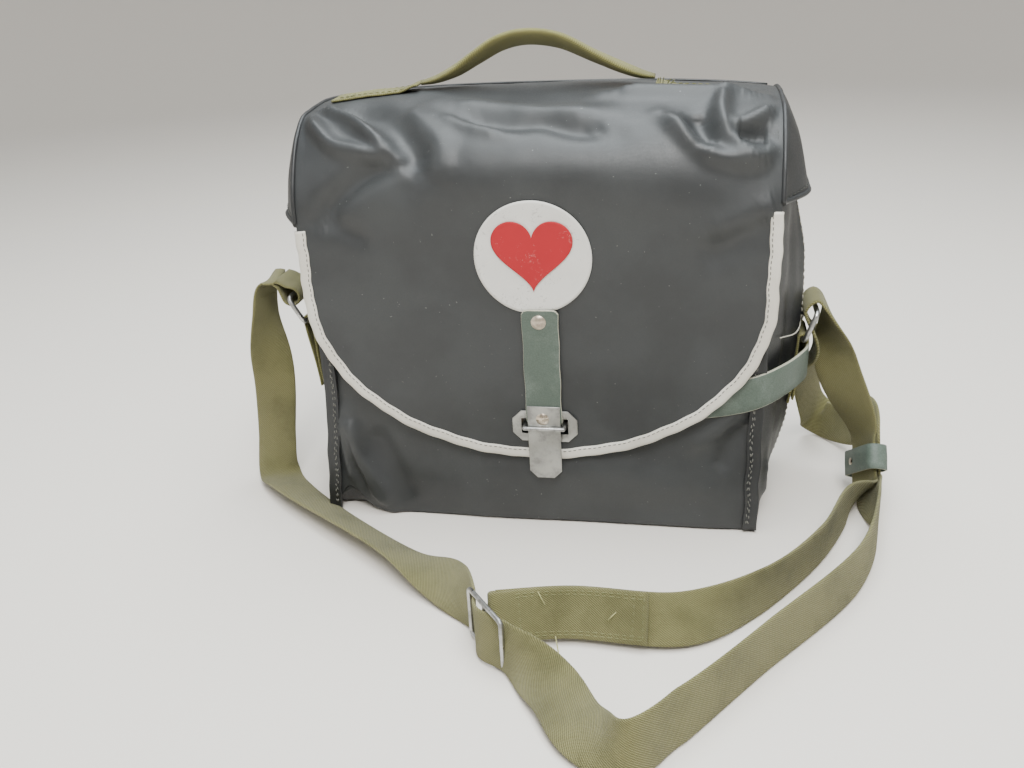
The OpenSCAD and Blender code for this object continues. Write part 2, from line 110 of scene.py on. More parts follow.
def smooth_curve(knots, step):
    """Points about step apart on the smooth curve through the knots, with their other values."""
    r = np.asarray(knots, float)
    out = []
    for i in range(len(r) - 1):
        b, c = r[i], r[i + 1]
        a = r[i - 1] if i > 0 else 2 * b - c
        d = r[i + 2] if i + 2 < len(r) else 2 * c - b
        t1 = knot_gap(a, b)
        t2 = t1 + knot_gap(b, c)
        t3 = t2 + knot_gap(c, d)
        count = max(1, round(np.linalg.norm(c[:3] - b[:3]) / step))
        for k in range(count):
            t = t1 + (t2 - t1) * k / count
            ab = (a * (t1 - t) + b * t) / t1
            bc = (b * (t2 - t) + c * (t - t1)) / (t2 - t1)
            cd = (c * (t3 - t) + d * (t - t2)) / (t3 - t2)
            abc = (ab * (t2 - t) + bc * t) / t2
            bcd = (bc * (t3 - t) + cd * (t - t1)) / (t3 - t1)
            out.append((abc * (t2 - t) + bcd * (t - t1)) / (t2 - t1))
    out.append(r[-1])
    return np.array(out)


def frames(q):
    """Unit directions along a band, across it and out of its face, at each of its points."""
    t = unit(np.gradient(q[:, :3], axis=0))
    w = unit(q[:, 3:6] - np.sum(q[:, 3:6] * t, axis=1, keepdims=True) * t)
    return t, w, np.cross(t, w)


def place(name, me, body, nodes):
    """Object for a mesh that rides on a body and stands for CAD nodes."""
    ob = bpy.data.objects.new(name, me)
    scene.collection.objects.link(ob)
    if body:
        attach(ob, body)
    if nodes:
        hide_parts(*nodes)
    return ob


def make(name, verts, faces, what, uv=None, smooth=True):
    """Object from millimetre vertices; what is its material, body, slot (not used) and CAD nodes."""
    material, body, slot, *nodes = what
    me = bpy.data.meshes.new(name)
    me.from_pydata((np.asarray(verts) * MM).tolist(), [], [list(map(int, f)) for f in faces])
    me.validate()
    me.materials.append(material)
    if uv is not None:
        layer = me.uv_layers.new(name="UVMap")
        loops = np.empty(len(me.loops), int)
        me.loops.foreach_get("vertex_index", loops)
        layer.data.foreach_set("uv", (np.asarray(uv)[loops] * MM).ravel())
    me.polygons.foreach_set("use_smooth", [smooth] * len(me.polygons))
    return place(name, me, body, nodes)


def grid_faces(rows, cols, closed=False, start=0):
    wrap = cols if closed else cols - 1
    return [
        (
            start + i * cols + j,
            start + i * cols + (j + 1) % cols,
            start + (i + 1) * cols + (j + 1) % cols,
            start + (i + 1) * cols + j,
        )
        for i in range(rows - 1)
        for j in range(wrap)
    ]


def sleeve(rows, cols, start=0):
    """Faces of a closed tube and of its two ends."""
    last = start + (rows - 1) * cols
    ends = [tuple(range(start + cols - 1, start - 1, -1)), tuple(range(last, last + cols))]
    return grid_faces(rows, cols, closed=True, start=start) + ends


def normals(p):
    """Unit normals of a grid of points."""
    n = np.cross(np.gradient(p, axis=1), np.gradient(p, axis=0))
    length = np.linalg.norm(n, axis=2, keepdims=True)
    return n / np.maximum(length, 1e-9)


def cloth(name, grid, thick, what, uv, out=None, hole=None):
    """Sheet of the given thickness behind a grid of points, its face turned out, less the faces in hole."""
    if out is not None and np.sum(normals(grid).mean(axis=(0, 1)) * out) < 0:
        grid = grid[:, ::-1]
        uv = uv[:, ::-1]
    rows, cols = grid.shape[:2]
    back = grid - normals(grid) * thick
    verts = np.concatenate([grid.reshape(-1, 3), back.reshape(-1, 3)])
    n = rows * cols
    faces = grid_faces(rows, cols)
    faces += [tuple(n + k for k in reversed(f)) for f in faces]
    index = np.arange(n).reshape(rows, cols)
    rim = [*index[0], *index[1:, -1], *index[-1, -2::-1], *index[-2:0:-1, 0]]
    for a, b in zip(rim, rim[1:] + rim[:1]):
        faces.append((b, a, n + a, n + b))
    if hole:
        faces = [f for f in faces if not hole(verts[list(f)].mean(axis=0))]
    return make(name, verts, faces, what, np.concatenate([uv.reshape(-1, 2)] * 2))


def tube(name, q, section, what):
    """Sweeps a closed section, in millimetres across and out of the face, along q."""
    w, n = frames(q)[1:]
    s = np.asarray(section, float)
    verts = q[:, None, :3] + s[None, :, :1] * w[:, None] + s[None, :, 1:2] * n[:, None]
    uv = join(s[None, :, 0], lengths(q[:, :3])[:, None])
    return make(name, verts.reshape(-1, 3), sleeve(*verts.shape[:2]), what, uv.reshape(-1, 2))


def band_section(width, thick, crown=0.0):
    """Section of a woven band: flat faces, rounded selvedges and a slight hollow down the middle."""
    half = width / 2
    across = np.array([-1, -0.97, -0.9, -0.6, -0.3, 0, 0.3, 0.6, 0.9, 0.97, 1]) * half
    rise = np.array([0.25, 0.8, 1.05, 0.98, 0.94, 0.92, 0.94, 0.98, 1.05, 0.8, 0.25]) * thick / 2
    arch = crown * (1 - (across / half) ** 2)
    return np.concatenate([join(across, -rise + arch), join(across, rise + arch)[::-1]])


def round_section(r):
    a = np.linspace(0, 2 * math.pi, 10, endpoint=False)
    return join(r * np.cos(a), r * np.sin(a))


def stitches(name, path, outward, what, long=3.2, gap=1.6, r=0.45, lift=0.15):
    """A row of thread stitches along a path on a surface; outward is the surface's direction there."""
    p = np.asarray(path, float)
    o = np.broadcast_to(np.asarray(outward, float), p.shape)
    along = lengths(p)
    size = np.array([0.35, 0.85, 1, 0.85, 0.35]) * r
    rise = np.array([-0.5, 0.1, lift / r, 0.1, -0.5]) * r
    verts, faces = [], []
    for s in np.arange(0.6, along[-1] - long, long + gap):
        mids = s + long * np.array([0, 0.12, 0.5, 0.88, 1])
        centre = at_lengths(mids, along, p)
        out = unit(at_lengths(mids, along, o))
        side = np.cross(unit(centre[-1] - centre[0]), out)
        faces += sleeve(5, 6, start=len(verts))
        for c, n_, w_, k, h in zip(centre, out, side, size, rise):
            for a in np.arange(6) * math.pi / 3:
                verts.append(c + n_ * (h + k * math.sin(a)) + w_ * k * math.cos(a))
    return make(name, verts, faces, what)


def from_cad(node, name, material, body, bevel=0.0):
    """A CAD node's own shape with softened edges, which stands for the node."""
    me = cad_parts[node].data.copy()
    bm = bmesh.new()
    bm.from_mesh(me)
    bmesh.ops.remove_doubles(bm, verts=bm.verts, dist=1e-6)
    bmesh.ops.dissolve_limit(bm, angle_limit=0.01, verts=bm.verts, edges=bm.edges)
    if bevel:
        sharp = [e for e in bm.edges if len(e.link_faces) == 2 and e.calc_face_angle() > math.radians(30)]
        bmesh.ops.bevel(
            bm, geom=sharp, offset=bevel * MM, segments=2, profile=0.6, affect="EDGES", clamp_overlap=True
        )
    bm.to_mesh(me)
    bm.free()
    me.materials.clear()
    me.materials.append(material)
    me.polygons.foreach_set("use_smooth", [True] * len(me.polygons))
    me.name = name
    me.set_sharp_from_angle(angle=math.radians(40))
    return place(name, me, body, [node])


def recalc(ob):
    """Turns all faces of a closed mesh outwards."""
    bm = bmesh.new()
    bm.from_mesh(ob.data)
    bmesh.ops.recalc_face_normals(bm, faces=bm.faces)
    bm.to_mesh(ob.data)
    bm.free()


def paint(ob, material, picks):
    """Gives the faces for which picks says so a second material."""
    ob.data.materials.append(material)
    for f in ob.data.polygons:
        if picks(f):
            f.material_index = len(ob.data.materials) - 1


def ease(t):
    t = np.clip(t, 0, 1)
    return t * t * (3 - 2 * t)


def cloudy(p, size, seed):
    """Soft noise from about -1 to 1 at points in millimetres."""
    flat = p.reshape(-1, 3) / size + seed
    return np.array([noise.noise(Vector(v)) for v in flat.tolist()]).reshape(p.shape[:-1])


def relief(p, folds):
    """Height of folds at points: each fold is a height, a reach and the line that it runs along."""
    flat = p.reshape(-1, 3)
    out = np.zeros(len(flat))
    for height, reach, *route in folds:
        line = smooth_curve(route, 4.0)
        gap = np.linalg.norm(flat[:, None] - line[None], axis=2)
        near = gap.argmin(axis=1) / (len(line) - 1)
        taper = 0.3 + 0.7 * ease(near / 0.2) * ease((1 - near) / 0.2)
        out += height * taper * np.exp(-(gap.min(axis=1) / reach) ** 2)
    return out.reshape(p.shape[:-1])


def rounded(half_a, half_b, r, n=5):
    """Rounded rectangle as points round its middle."""
    out = []
    for k, (sa, sb) in enumerate(((1, 1), (-1, 1), (-1, -1), (1, -1))):
        for a in np.radians(np.linspace(90 * k, 90 * k + 90, n)):
            out.append((sa * (half_a - r) + r * math.cos(a), sb * (half_b - r) + r * math.sin(a)))
    return np.array(out)


def wire(name, points, r, what, closed=True, sides=12):
    """Round wire through points in millimetres."""
    p = np.asarray(points, float)
    ahead = unit(np.roll(p, -1, axis=0) - np.roll(p, 1, axis=0) if closed else np.gradient(p, axis=0))
    u = np.array([0.13, 0.21, 0.97]) if abs(ahead[0, 2]) < 0.8 else np.array([0.97, 0.2, 0.13])
    verts = []
    for c, t in zip(p, ahead):
        u = unit(u - (u @ t) * t)
        v = np.cross(t, u)
        for a in np.arange(sides) * 2 * math.pi / sides:
            verts.append(c + r * (math.cos(a) * u + math.sin(a) * v))
    if not closed:
        return make(name, verts, sleeve(len(p), sides), what)
    faces = grid_faces(len(p), sides, closed=True)
    last = (len(p) - 1) * sides
    turn = min(range(sides), key=lambda s: np.linalg.norm(verts[last] - verts[s]))
    for j in range(sides):
        a, b = (j + turn) % sides, (j + 1 + turn) % sides
        faces.append((last + j, last + (j + 1) % sides, b, a))
    return make(name, verts, faces, what)


# ---- materials ----

class Surface:
    """A Principled material and short ways to feed it."""

    def __init__(self, name, **values):
        self.material = bpy.data.materials.new(name)
        self.material.use_nodes = True
        self.tree = self.material.node_tree
        self.shader = self.tree.nodes["Principled BSDF"]
        for key, value in values.items():
            self.shader.inputs[key.replace("_", " ")].default_value = value

    def link(self, value, socket):
        if isinstance(value, bpy.types.NodeSocket):
            self.tree.links.new(value, socket)
        else:
            socket.default_value = value

    def feed(self, name, value):
        self.link(value, self.shader.inputs[name])

    def node(self, kind, output, inputs, **settings):
        """One output of a new node, whose inputs are given as sockets or as plain values."""
        made = self.tree.nodes.new("ShaderNode" + kind)
        for key, value in settings.items():
            setattr(made, key, value)
        for key, value in inputs.items():
            self.link(value, made.inputs[key])
        return made.outputs[output]

    def coords(self, kind="Object"):
        return self.node("TexCoord", kind, {})

    def noise(self, scale, detail=3.0, rough=0.55, stretch=None):
        vector = self.coords()
        if stretch:
            vector = self.node("Mapping", "Vector", {"Scale": stretch, "Vector": vector})
        inputs = {"Scale": scale, "Detail": detail, "Roughness": rough, "Vector": vector}
        return self.node("TexNoise", "Fac", inputs)

    def cells(self, scale):
        inputs = {"Scale": scale, "Vector": self.coords()}
        return self.node("TexVoronoi", "Distance", inputs, feature="DISTANCE_TO_EDGE")

    def math(self, operation, a, b):
        return self.node("Math", 0, {0: a, 1: b}, operation=operation)

    def plus(self, a, b):
        return self.math("ADD", a, b)

    def times(self, a, b):
        return self.math("MULTIPLY", a, b)

    def sine(self, value):
        return self.math("SINE", value, 0.0)

    def span(self, value, low, high, out_low=0.0, out_high=1.0):
        inputs = {"Value": value, "From Min": low, "From Max": high, "To Min": out_low, "To Max": out_high}
        return self.node("MapRange", "Result", inputs, interpolation_type="SMOOTHSTEP")

    def mix(self, factor, a, b):
        a, b = ((*c, 1) if isinstance(c, tuple) else c for c in (a, b))
        return self.node("Mix", 2, {0: factor, 6: a, 7: b}, data_type="RGBA")

    def bump(self, *layers):
        """Each layer is a height and its depth in millimetres."""
        under = {}
        for height, depth in layers:
            inputs = {"Distance": depth * MM, "Strength": 1.0, "Height": height, **under}
            under = {"Normal": self.node("Bump", "Normal", inputs)}
        self.feed("Normal", under["Normal"])

    def split(self, kind):
        """The three parts of the object's or the UV coordinates."""
        return list(self.node("SeparateXYZ", 0, {0: self.coords(kind)}).node.outputs)


def coated_fabric(name, base, light, crease=0.25):
    """Rubbery coated cloth: fine grain, cloudy sheen, scuffs and pale specks of dust."""
    s = Surface(name, Specular_IOR_Level=0.5)
    cloud = s.noise(14, 4, 0.6)
    grain = s.noise(900, 2, 0.6)
    speck = s.noise(420, 1, 0.4)
    colour = s.mix(s.span(cloud, 0.35, 0.68), base, light)
    colour = s.mix(s.span(speck, 0.76, 0.84, 0, 0.35), colour, (0.3, 0.32, 0.29))
    s.feed("Base Color", colour)
    s.feed("Roughness", s.plus(s.span(cloud, 0.3, 0.75, 0.44, 0.58), s.span(grain, 0.3, 0.7, -0.05, 0.06)))
    s.bump((s.noise(45, 4, 0.55), crease), (s.cells(1100), 0.02), (grain, 0.03))
    return s.material


def woven(name, dark, light, pitch=1.5, depth=0.35):
    """Webbing: slanted ribs crossed by finer threads, with soiling along its length."""
    s = Surface(name, Roughness=0.9, Sheen_Weight=0.15, Specular_IOR_Level=0.2)
    u, v = s.split("UV")[:2]
    k = 2 * math.pi / (pitch * MM)
    slant = s.plus(s.times(u, k), s.times(v, k * 0.8))
    cross = s.math("SUBTRACT", s.times(u, k * 1.6), s.times(v, k * 1.1))
    ribs = s.times(s.sine(slant), 0.5)
    threads = s.times(s.sine(cross), 0.28)
    weave = s.plus(s.plus(ribs, threads), 0.5)
    fuzz = s.noise(1500, 2, 0.7)
    soil = s.noise(26, 4, 0.6)
    tone = s.plus(s.times(weave, 0.7), s.times(fuzz, 0.45))
    colour = s.mix(s.span(tone, 0.1, 0.95), dark, light)
    colour = s.mix(s.span(soil, 0.42, 0.75, 0, 0.45), colour, tuple(c * 0.6 for c in dark))
    s.feed("Base Color", colour)
    s.bump((soil, 0.4), (weave, depth), (fuzz, 0.15))
    return s.material


def hide(name, base, worn, rough=0.5):
    s = Surface(name, Specular_IOR_Level=0.4)
    pores = s.cells(520)
    cloud = s.noise(38, 5, 0.65)
    colour = s.mix(s.span(cloud, 0.45, 0.72), base, worn)
    s.feed("Base Color", s.mix(s.span(pores, 0, 0.12, 0.35, 0), colour, tuple(c * 0.5 for c in base)))
    s.feed("Roughness", s.span(cloud, 0.3, 0.7, rough - 0.1, rough + 0.15))
    s.bump((cloud, 0.25), (pores, 0.12))
    return s.material


def worn_metal(name, base, dull, rough, metallic=1.0):
    s = Surface(name, Metallic=metallic)
    scratch = s.noise(220, 3, 0.7, stretch=(1, 1, 0.12))
    cloud = s.noise(75, 4, 0.65)
    s.feed("Base Color", s.mix(s.span(cloud, 0.42, 0.68), base, dull))
    polish = s.span(cloud, 0.35, 0.7, rough - 0.06, rough + 0.2)
    s.feed("Roughness", s.plus(polish, s.span(scratch, 0.4, 0.7, -0.05, 0.1)))
    s.bump((cloud, 0.06), (scratch, 0.03))
    return s.material


def gauze_cloth(name, base, pitch=0.9):
    s = Surface(name, Roughness=0.95, Sheen_Weight=0.2, Specular_IOR_Level=0.15)
    k = 2 * math.pi / (pitch * MM)
    a, b, c = (s.sine(s.times(axis, k)) for axis in s.split("Object"))
    weave = s.plus(s.times(s.plus(s.plus(a, b), c), 0.16), 0.5)
    cloud = s.noise(30, 4, 0.6)
    tone = s.plus(s.times(weave, 0.5), s.times(cloud, 0.6))
    s.feed("Base Color", s.mix(s.span(tone, 0.25, 0.75), tuple(x * 0.72 for x in base), base))
    s.bump((cloud, 0.5), (weave, 0.15))
    return s.material


def printed_film(name, base, worn, amount):
    """Print on the fabric, scuffed away in specks."""
    s = Surface(name, Roughness=0.55, Specular_IOR_Level=0.35)
    patch = s.times(s.span(s.noise(60, 3, 0.6), 0.5, 0.62), s.span(s.noise(520, 3, 0.75), 0.56, 0.64))
    cloud = s.noise(40, 4, 0.6)
    colour = s.mix(s.span(cloud, 0.4, 0.75, 0, 0.35), base, tuple(c * 0.82 for c in base))
    s.feed("Base Color", s.mix(s.times(patch, amount), colour, worn))
    s.bump((s.noise(800, 2, 0.6), 0.03))
    return s.material


vinyl = coated_fabric("vinyl", (0.025, 0.027, 0.028), (0.038, 0.041, 0.042))
# A darker copy of the same vinyl with painted shade in its colour, for the parts that sit in shade: side
# walls, ears, back, base, welts and hems
vinyl_painted_shade = coated_fabric("vinyl_painted_shade", (0.017, 0.018, 0.019), (0.028, 0.03, 0.031))
lining = gauze_cloth("lining", (0.2, 0.2, 0.16), pitch=1.1)
piping = coated_fabric("piping", (0.6, 0.57, 0.5), (0.7, 0.68, 0.61), crease=0.15)
webbing = woven("webbing", (0.095, 0.093, 0.034), (0.25, 0.235, 0.105))
webbing_pale = woven("webbing_pale", (0.12, 0.115, 0.036), (0.3, 0.285, 0.115), pitch=1.3)
thread, thread_grey, thread_dark, thread_pale, thread_olive = (
    woven(name, dark, light, pitch=0.6, depth=0.1) for name, dark, light in (
        ("thread", (0.34, 0.33, 0.27), (0.55, 0.53, 0.45)),
        ("thread_grey", (0.09, 0.09, 0.08), (0.2, 0.2, 0.175)),
        ("thread_dark", (0.03, 0.034, 0.03), (0.07, 0.075, 0.065)),
        ("thread_pale", (0.3, 0.29, 0.12), (0.5, 0.48, 0.22)),
        ("thread_olive", (0.1, 0.1, 0.035), (0.26, 0.26, 0.12)),
    )
)
leather = hide("leather", (0.085, 0.113, 0.092), (0.13, 0.163, 0.138))
leather_edge = hide("leather_edge", (0.42, 0.42, 0.33), (0.5, 0.5, 0.42), rough=0.7)
zinc = worn_metal("zinc", (0.42, 0.42, 0.4), (0.3, 0.3, 0.29), rough=0.42)
wire_metal = worn_metal("wire_metal", (0.5, 0.5, 0.49), (0.26, 0.26, 0.25), rough=0.35)
rivet_metal = worn_metal("rivet_metal", (0.62, 0.54, 0.44), (0.36, 0.3, 0.25), rough=0.35)
steel = worn_metal("steel", (0.62, 0.62, 0.62), (0.5, 0.5, 0.5), rough=0.22)
tin = worn_metal("tin", (0.7, 0.7, 0.68), (0.6, 0.6, 0.58), rough=0.35, metallic=0.3)
film_white = printed_film("film_white", (0.72, 0.71, 0.67), (0.2, 0.2, 0.18), amount=0.45)
film_red = printed_film("film_red", (0.42, 0.012, 0.02), (0.6, 0.45, 0.42), amount=0.35)
gauze = gauze_cloth("gauze", (0.78, 0.76, 0.68))
wrapper = gauze_cloth("wrapper", (0.42, 0.36, 0.24), pitch=1.4)
plaster = gauze_cloth("plaster", (0.66, 0.52, 0.4), pitch=0.7)
board = gauze_cloth("board", (0.3, 0.25, 0.17), pitch=2.2)


# ---- shoulder strap ----

STRAP_W = 35.0
STRAP_T = 2.4
# Centre of the band, then the direction of its width
STRAP = [
    [-224, 0, 183, 0, 1, 0], [-234, -2, 181, 0.15, 1, 0.2], [-241, -5, 150, 0.25, 1, 0],
    [-240, -9, 92, 1, 0.3, 0], [-245, -11, 40, 1, 0, 0], [-242, -24, 10, 1, 0.2, 0],
    [-216, -52, 9, 0.7, 0.7, -0.3], [-95, -142, 11, 0.5, 0.8, -0.4], [-52, -176, 14, 0.3, 0.8, 0.5],
    [-23, -212, 19, -0.1, 0.3, 1], [-15, -235, 19, -0.1, 0.3, 1], [6, -248, 19, -0.1, 0.3, 1],
    [38, -274, 14, 0.6, 0.65, 0.45], [60, -306, 13, 0.6, 0.6, 0.5], [86, -323, 18, 0, 0.35, 0.9],
    [114, -294, 18, 0.3, 0.6, 0.7], [165, -228, 18, 0.2, 0.4, 0.8], [236, -132, 19, 0, 0.2, 1],
    [256, -68, 22, 0, 0, 1], [258, -17.5, 17, 0.34, -0.73, 0.6], [258, -3.5, 32.6, 0.34, -0.73, 0.6],
    [258, 10.5, 49.6, 0.34, -0.73, 0.6], [261, 34, 54, 0.1, -0.4, 0.9], [254, 74, 26, 0, 0.2, 1],
    [231, 104, 20, 0.1, 0.1, 1], [212, 64, 84, 0.6, 0.8, 0.2],
    [209, 2, 138, 0, 1, 0], [199.2, 0, 164.6, 0, 1, 0], [206.9, 0, 172.3, 0, 1, 0],
    [214.6, 0, 164.6, 0, 1, 0], [228, 2, 112, -0.85, 0.4, -0.35], [254, 9.5, 50.4, -0.34, 0.73, -0.6],
    [254, -4.5, 33.4, -0.34, 0.73, -0.6], [254, -18.5, 17, -0.34, 0.73, -0.6],
    [236, -54, 20, 0, 0, -1], [211, -109, 19, -0.1, -0.1, -1], [165, -170, 18, -0.3, -0.4, -0.8],
    [116, -204, 18, -0.2, -0.6, -0.8], [40, -206, 18, 0, -0.5, -0.87], [-7, -216, 18, 0.1, -0.45, -0.87],
]

line_of_strap = smooth_curve(STRAP, 3.0)
weave_cut = band_section(STRAP_W, STRAP_T, crown=0.5)
strap = tube("strap_band", line_of_strap, weave_cut, (webbing, "bag", "webbing", "shoulder_strap"))

# The folded-back end lies over the last stretch of the band and opens into a loop at the slider
TAIL_ROWS = 34
tail_line = line_of_strap[-TAIL_ROWS:].copy()
tail_t, tail_w, tail_n = frames(tail_line)
to_end = np.linspace(99, 0, TAIL_ROWS)
raised = STRAP_T + 0.3 + 5.5 * np.clip(1 - to_end / 22, 0, 1) ** 1.5
tail_line[:, :3] += tail_n * raised[:, None]
bend = np.radians(np.arange(18, 181, 18.0))
half = raised[-1] / 2
turn = np.repeat(tail_line[-1:], len(bend), axis=0)
turn[:, :3] += np.outer(half * np.sin(bend), tail_t[-1]) - np.outer(half * (1 - np.cos(bend)), tail_n[-1])
sewn_q = np.concatenate([tail_line, turn])
fold_cut = band_section(STRAP_W - 1, STRAP_T, crown=0.4)
sewn = tube("strap_sewn_fold", sewn_q, fold_cut, (webbing, "bag", "webbing", "strap_sewn_end"))


# ---- lid ----

CROWN_MID = np.array([
    [62, 325], [45, 328], [12, 329.5], [-15, 327], [-40, 320], [-60, 310],
    [-73, 298], [-80.8, 283], [-82.9, 268], [-81.4, 248], [-79.9, 227], [-78, 200],
])
CROWN_SIDE = np.array([
    [62, 318], [45, 320], [12, 321], [-15, 319], [-34, 316], [-48, 306],
    [-58, 294], [-66, 279], [-72, 262], [-74, 245], [-74.6, 227], [-75, 200],
])
FLAP_ROUND = 190.0
FLAP_LOW = 62.0
EAR_LOW = {-1: 246.0, 1: 260.0}
# Height at which the crown passes into the flap
FLAP_TOP = 200.0
SIDES = ((-1, "left"), (1, "right"))

# Height, reach and route of each fold in the lid: a puckered corner at each side and swags between them
LID_FOLDS = [
    (6.5, 5.5, (-166, -20, 320), (-140, -36, 318), (-114, -57, 308), (-90, -73, 294)),
    (6, 6, (-169, -32, 317), (-154, -50, 308), (-140, -61, 300), (-123, -67, 297), (-105, -71, 294),
     (-91, -73, 294)),
    (4, 12, (-100, -31, 321), (-82, -50, 314), (-72, -61, 308), (-64, -70, 300), (-62, -77, 289),
     (-66, -81, 274)),
    (-7, 13, (-152, -22, 320), (-128, -30, 321), (-103, -43, 318), (-86, -60, 308), (-77, -71, 298),
     (-75, -78, 286), (-79, -81, 275)),
    (-6, 9, (-90, -73, 293), (-122, -76, 279), (-156, -76, 249)),
    (3, 10, (-68, -22, 324), (-21, -30, 323), (6, -41, 320), (52, -44, 318)),
    (-5, 10, (-57, -42, 319), (-11, -52, 314), (8, -51, 314), (34, -60, 310), (60, -64, 306)),
    (3, 6, (-67, -43, 318), (-42, -56, 312), (-15, -64, 306)),
    (6.5, 7, (89, -48, 315), (103, -59, 308), (111, -64, 301), (125, -69, 293), (141, -68, 289),
     (155, -65, 289), (163, -61, 294)),
    (5.5, 6, (133, -17, 323), (130, -42, 315), (132, -56, 307), (139, -61, 300), (149, -64, 295),
     (157, -63, 292)),
    (5, 5.5, (135, -53, 309), (145, -51, 309), (154, -45, 311), (165, -35, 316)),
    (-6, 8, (139, -57, 304), (151, -56, 303), (163, -55, 301)),
    (-6, 10, (114, -43, 316), (117, -55, 309), (121, -63, 302), (128, -66, 297)),
    (3, 10, (172, -72, 258), (147, -77, 251), (123, -79, 242)),
    (-3, 12, (167, -74, 253), (142, -77, 236), (117, -78, 221)),
    (-2.5, 8, (-155, -76, 248), (-135, -78, 244), (-116, -79, 234)),
    (2, 22, (-60, -80, 284), (0, -81, 290), (70, -79, 288)),
    (5.2, 9, (50, -16, 326), (104, -18, 325), (160, -14, 320)),
    (-3.4, 15, (70, 13, 328), (112, 13, 326), (152, 13, 324)),
]


def side_share(x):
    """0 at the middle of the lid and 1 at its sides."""
    return (np.abs(x) / LID_HALF) ** 3


def flap_edge_z(x):
    part = np.minimum(np.abs(x) / LID_HALF, 0.9985)
    return FLAP_ROUND - (FLAP_ROUND - FLAP_LOW) * np.sqrt(1 - part ** 2)


def mid_flap_y(z):
    return -73 - (z - 60) / 28


def flap_y(x, z):
    share = side_share(x)
    return (1 - share) * mid_flap_y(z) - 75 * share


def lid_profile(x, crown_rows, flap_rows):
    """Points of the lid at x, from the hinge over the crown and down to the flap's edge."""
    share = side_share(x)
    crown = (1 - share) * CROWN_MID + share * CROWN_SIDE
    z = FLAP_TOP + (flap_edge_z(x) - FLAP_TOP) * np.arange(1, flap_rows + 1) / flap_rows
    low = join(flap_y(x, z), z)
    curve = smooth_curve(np.c_[np.full(14, x), np.concatenate([crown, low[:2]])], 2.0)
    curve = curve[: np.abs(curve[:, 2] - FLAP_TOP).argmin() + 1]
    along = lengths(curve)
    top = at_lengths(np.linspace(0, along[-1], crown_rows), along, curve)
    top[-1] = [x, flap_y(x, FLAP_TOP), FLAP_TOP]
    return np.concatenate([top, np.c_[np.full(flap_rows, x), low]])


lid_x = LID_HALF * np.sin(np.radians(np.linspace(-90, 90, 181)))
lid = np.array([lid_profile(x, 96, 46) for x in lid_x])
lid_out = normals(lid)
from_side = LID_HALF - np.abs(lid[..., 0])
from_edge = lid[..., 2] - flap_edge_z(lid[..., 0])
height = 1.35 * relief(lid, LID_FOLDS)
# Dent in the crest in front of the handle
height -= 6 * np.exp(-((lid[..., 0] + 12) / 45) ** 2 - ((lid[..., 1] + 18) / 24) ** 2) * (lid[..., 2] > 300)
height += 1.1 * cloudy(lid, 62.0, 3.1) + 0.35 * cloudy(lid, 17.0, 8.4)
height *= (0.15 + 0.85 * ease(from_side / 9)) * ease(from_edge / 16) * ease((62 - lid[..., 1]) / 12)
lid_skin = lid + lid_out * height[..., None]
lid_skin[..., 1] = np.minimum(lid_skin[..., 1], 63)
lid_uv = join(lid[..., 0], lid[..., 2] - lid[..., 1])


# The slot in the flap that the staple comes through, in x and z
SLOT_MID = (7, 89.5)
SLOT_HALF = (20.5, 9)


def in_slot(c):
    return abs(c[0] - SLOT_MID[0]) < SLOT_HALF[0] and abs(c[2] - SLOT_MID[1]) < SLOT_HALF[1] and c[1] < 0


cloth("lid_cover", lid_skin, 2.0, (vinyl, "lid", "vinyl", "lid_top", "lid_front"), lid_uv, hole=in_slot)


def flap_point(x, z, lift):
    """Points on the flap's outer face, raised off it."""
    x, z = np.broadcast_arrays(np.asarray(x, float), np.asarray(z, float))
    out = np.empty(x.shape + (3,))
    for k in np.ndindex(x.shape):
        i = int(np.clip(np.searchsorted(lid_x, x[k]) - 1, 0, len(lid_x) - 2))
        t = (x[k] - lid_x[i]) / (lid_x[i + 1] - lid_x[i])
        ya, yb = (np.interp(z[k], lid_skin[c, :40:-1, 2], lid_skin[c, :40:-1, 1]) for c in (i, i + 1))
        out[k] = (x[k], (1 - t) * ya + t * yb - lift, z[k])
    return out


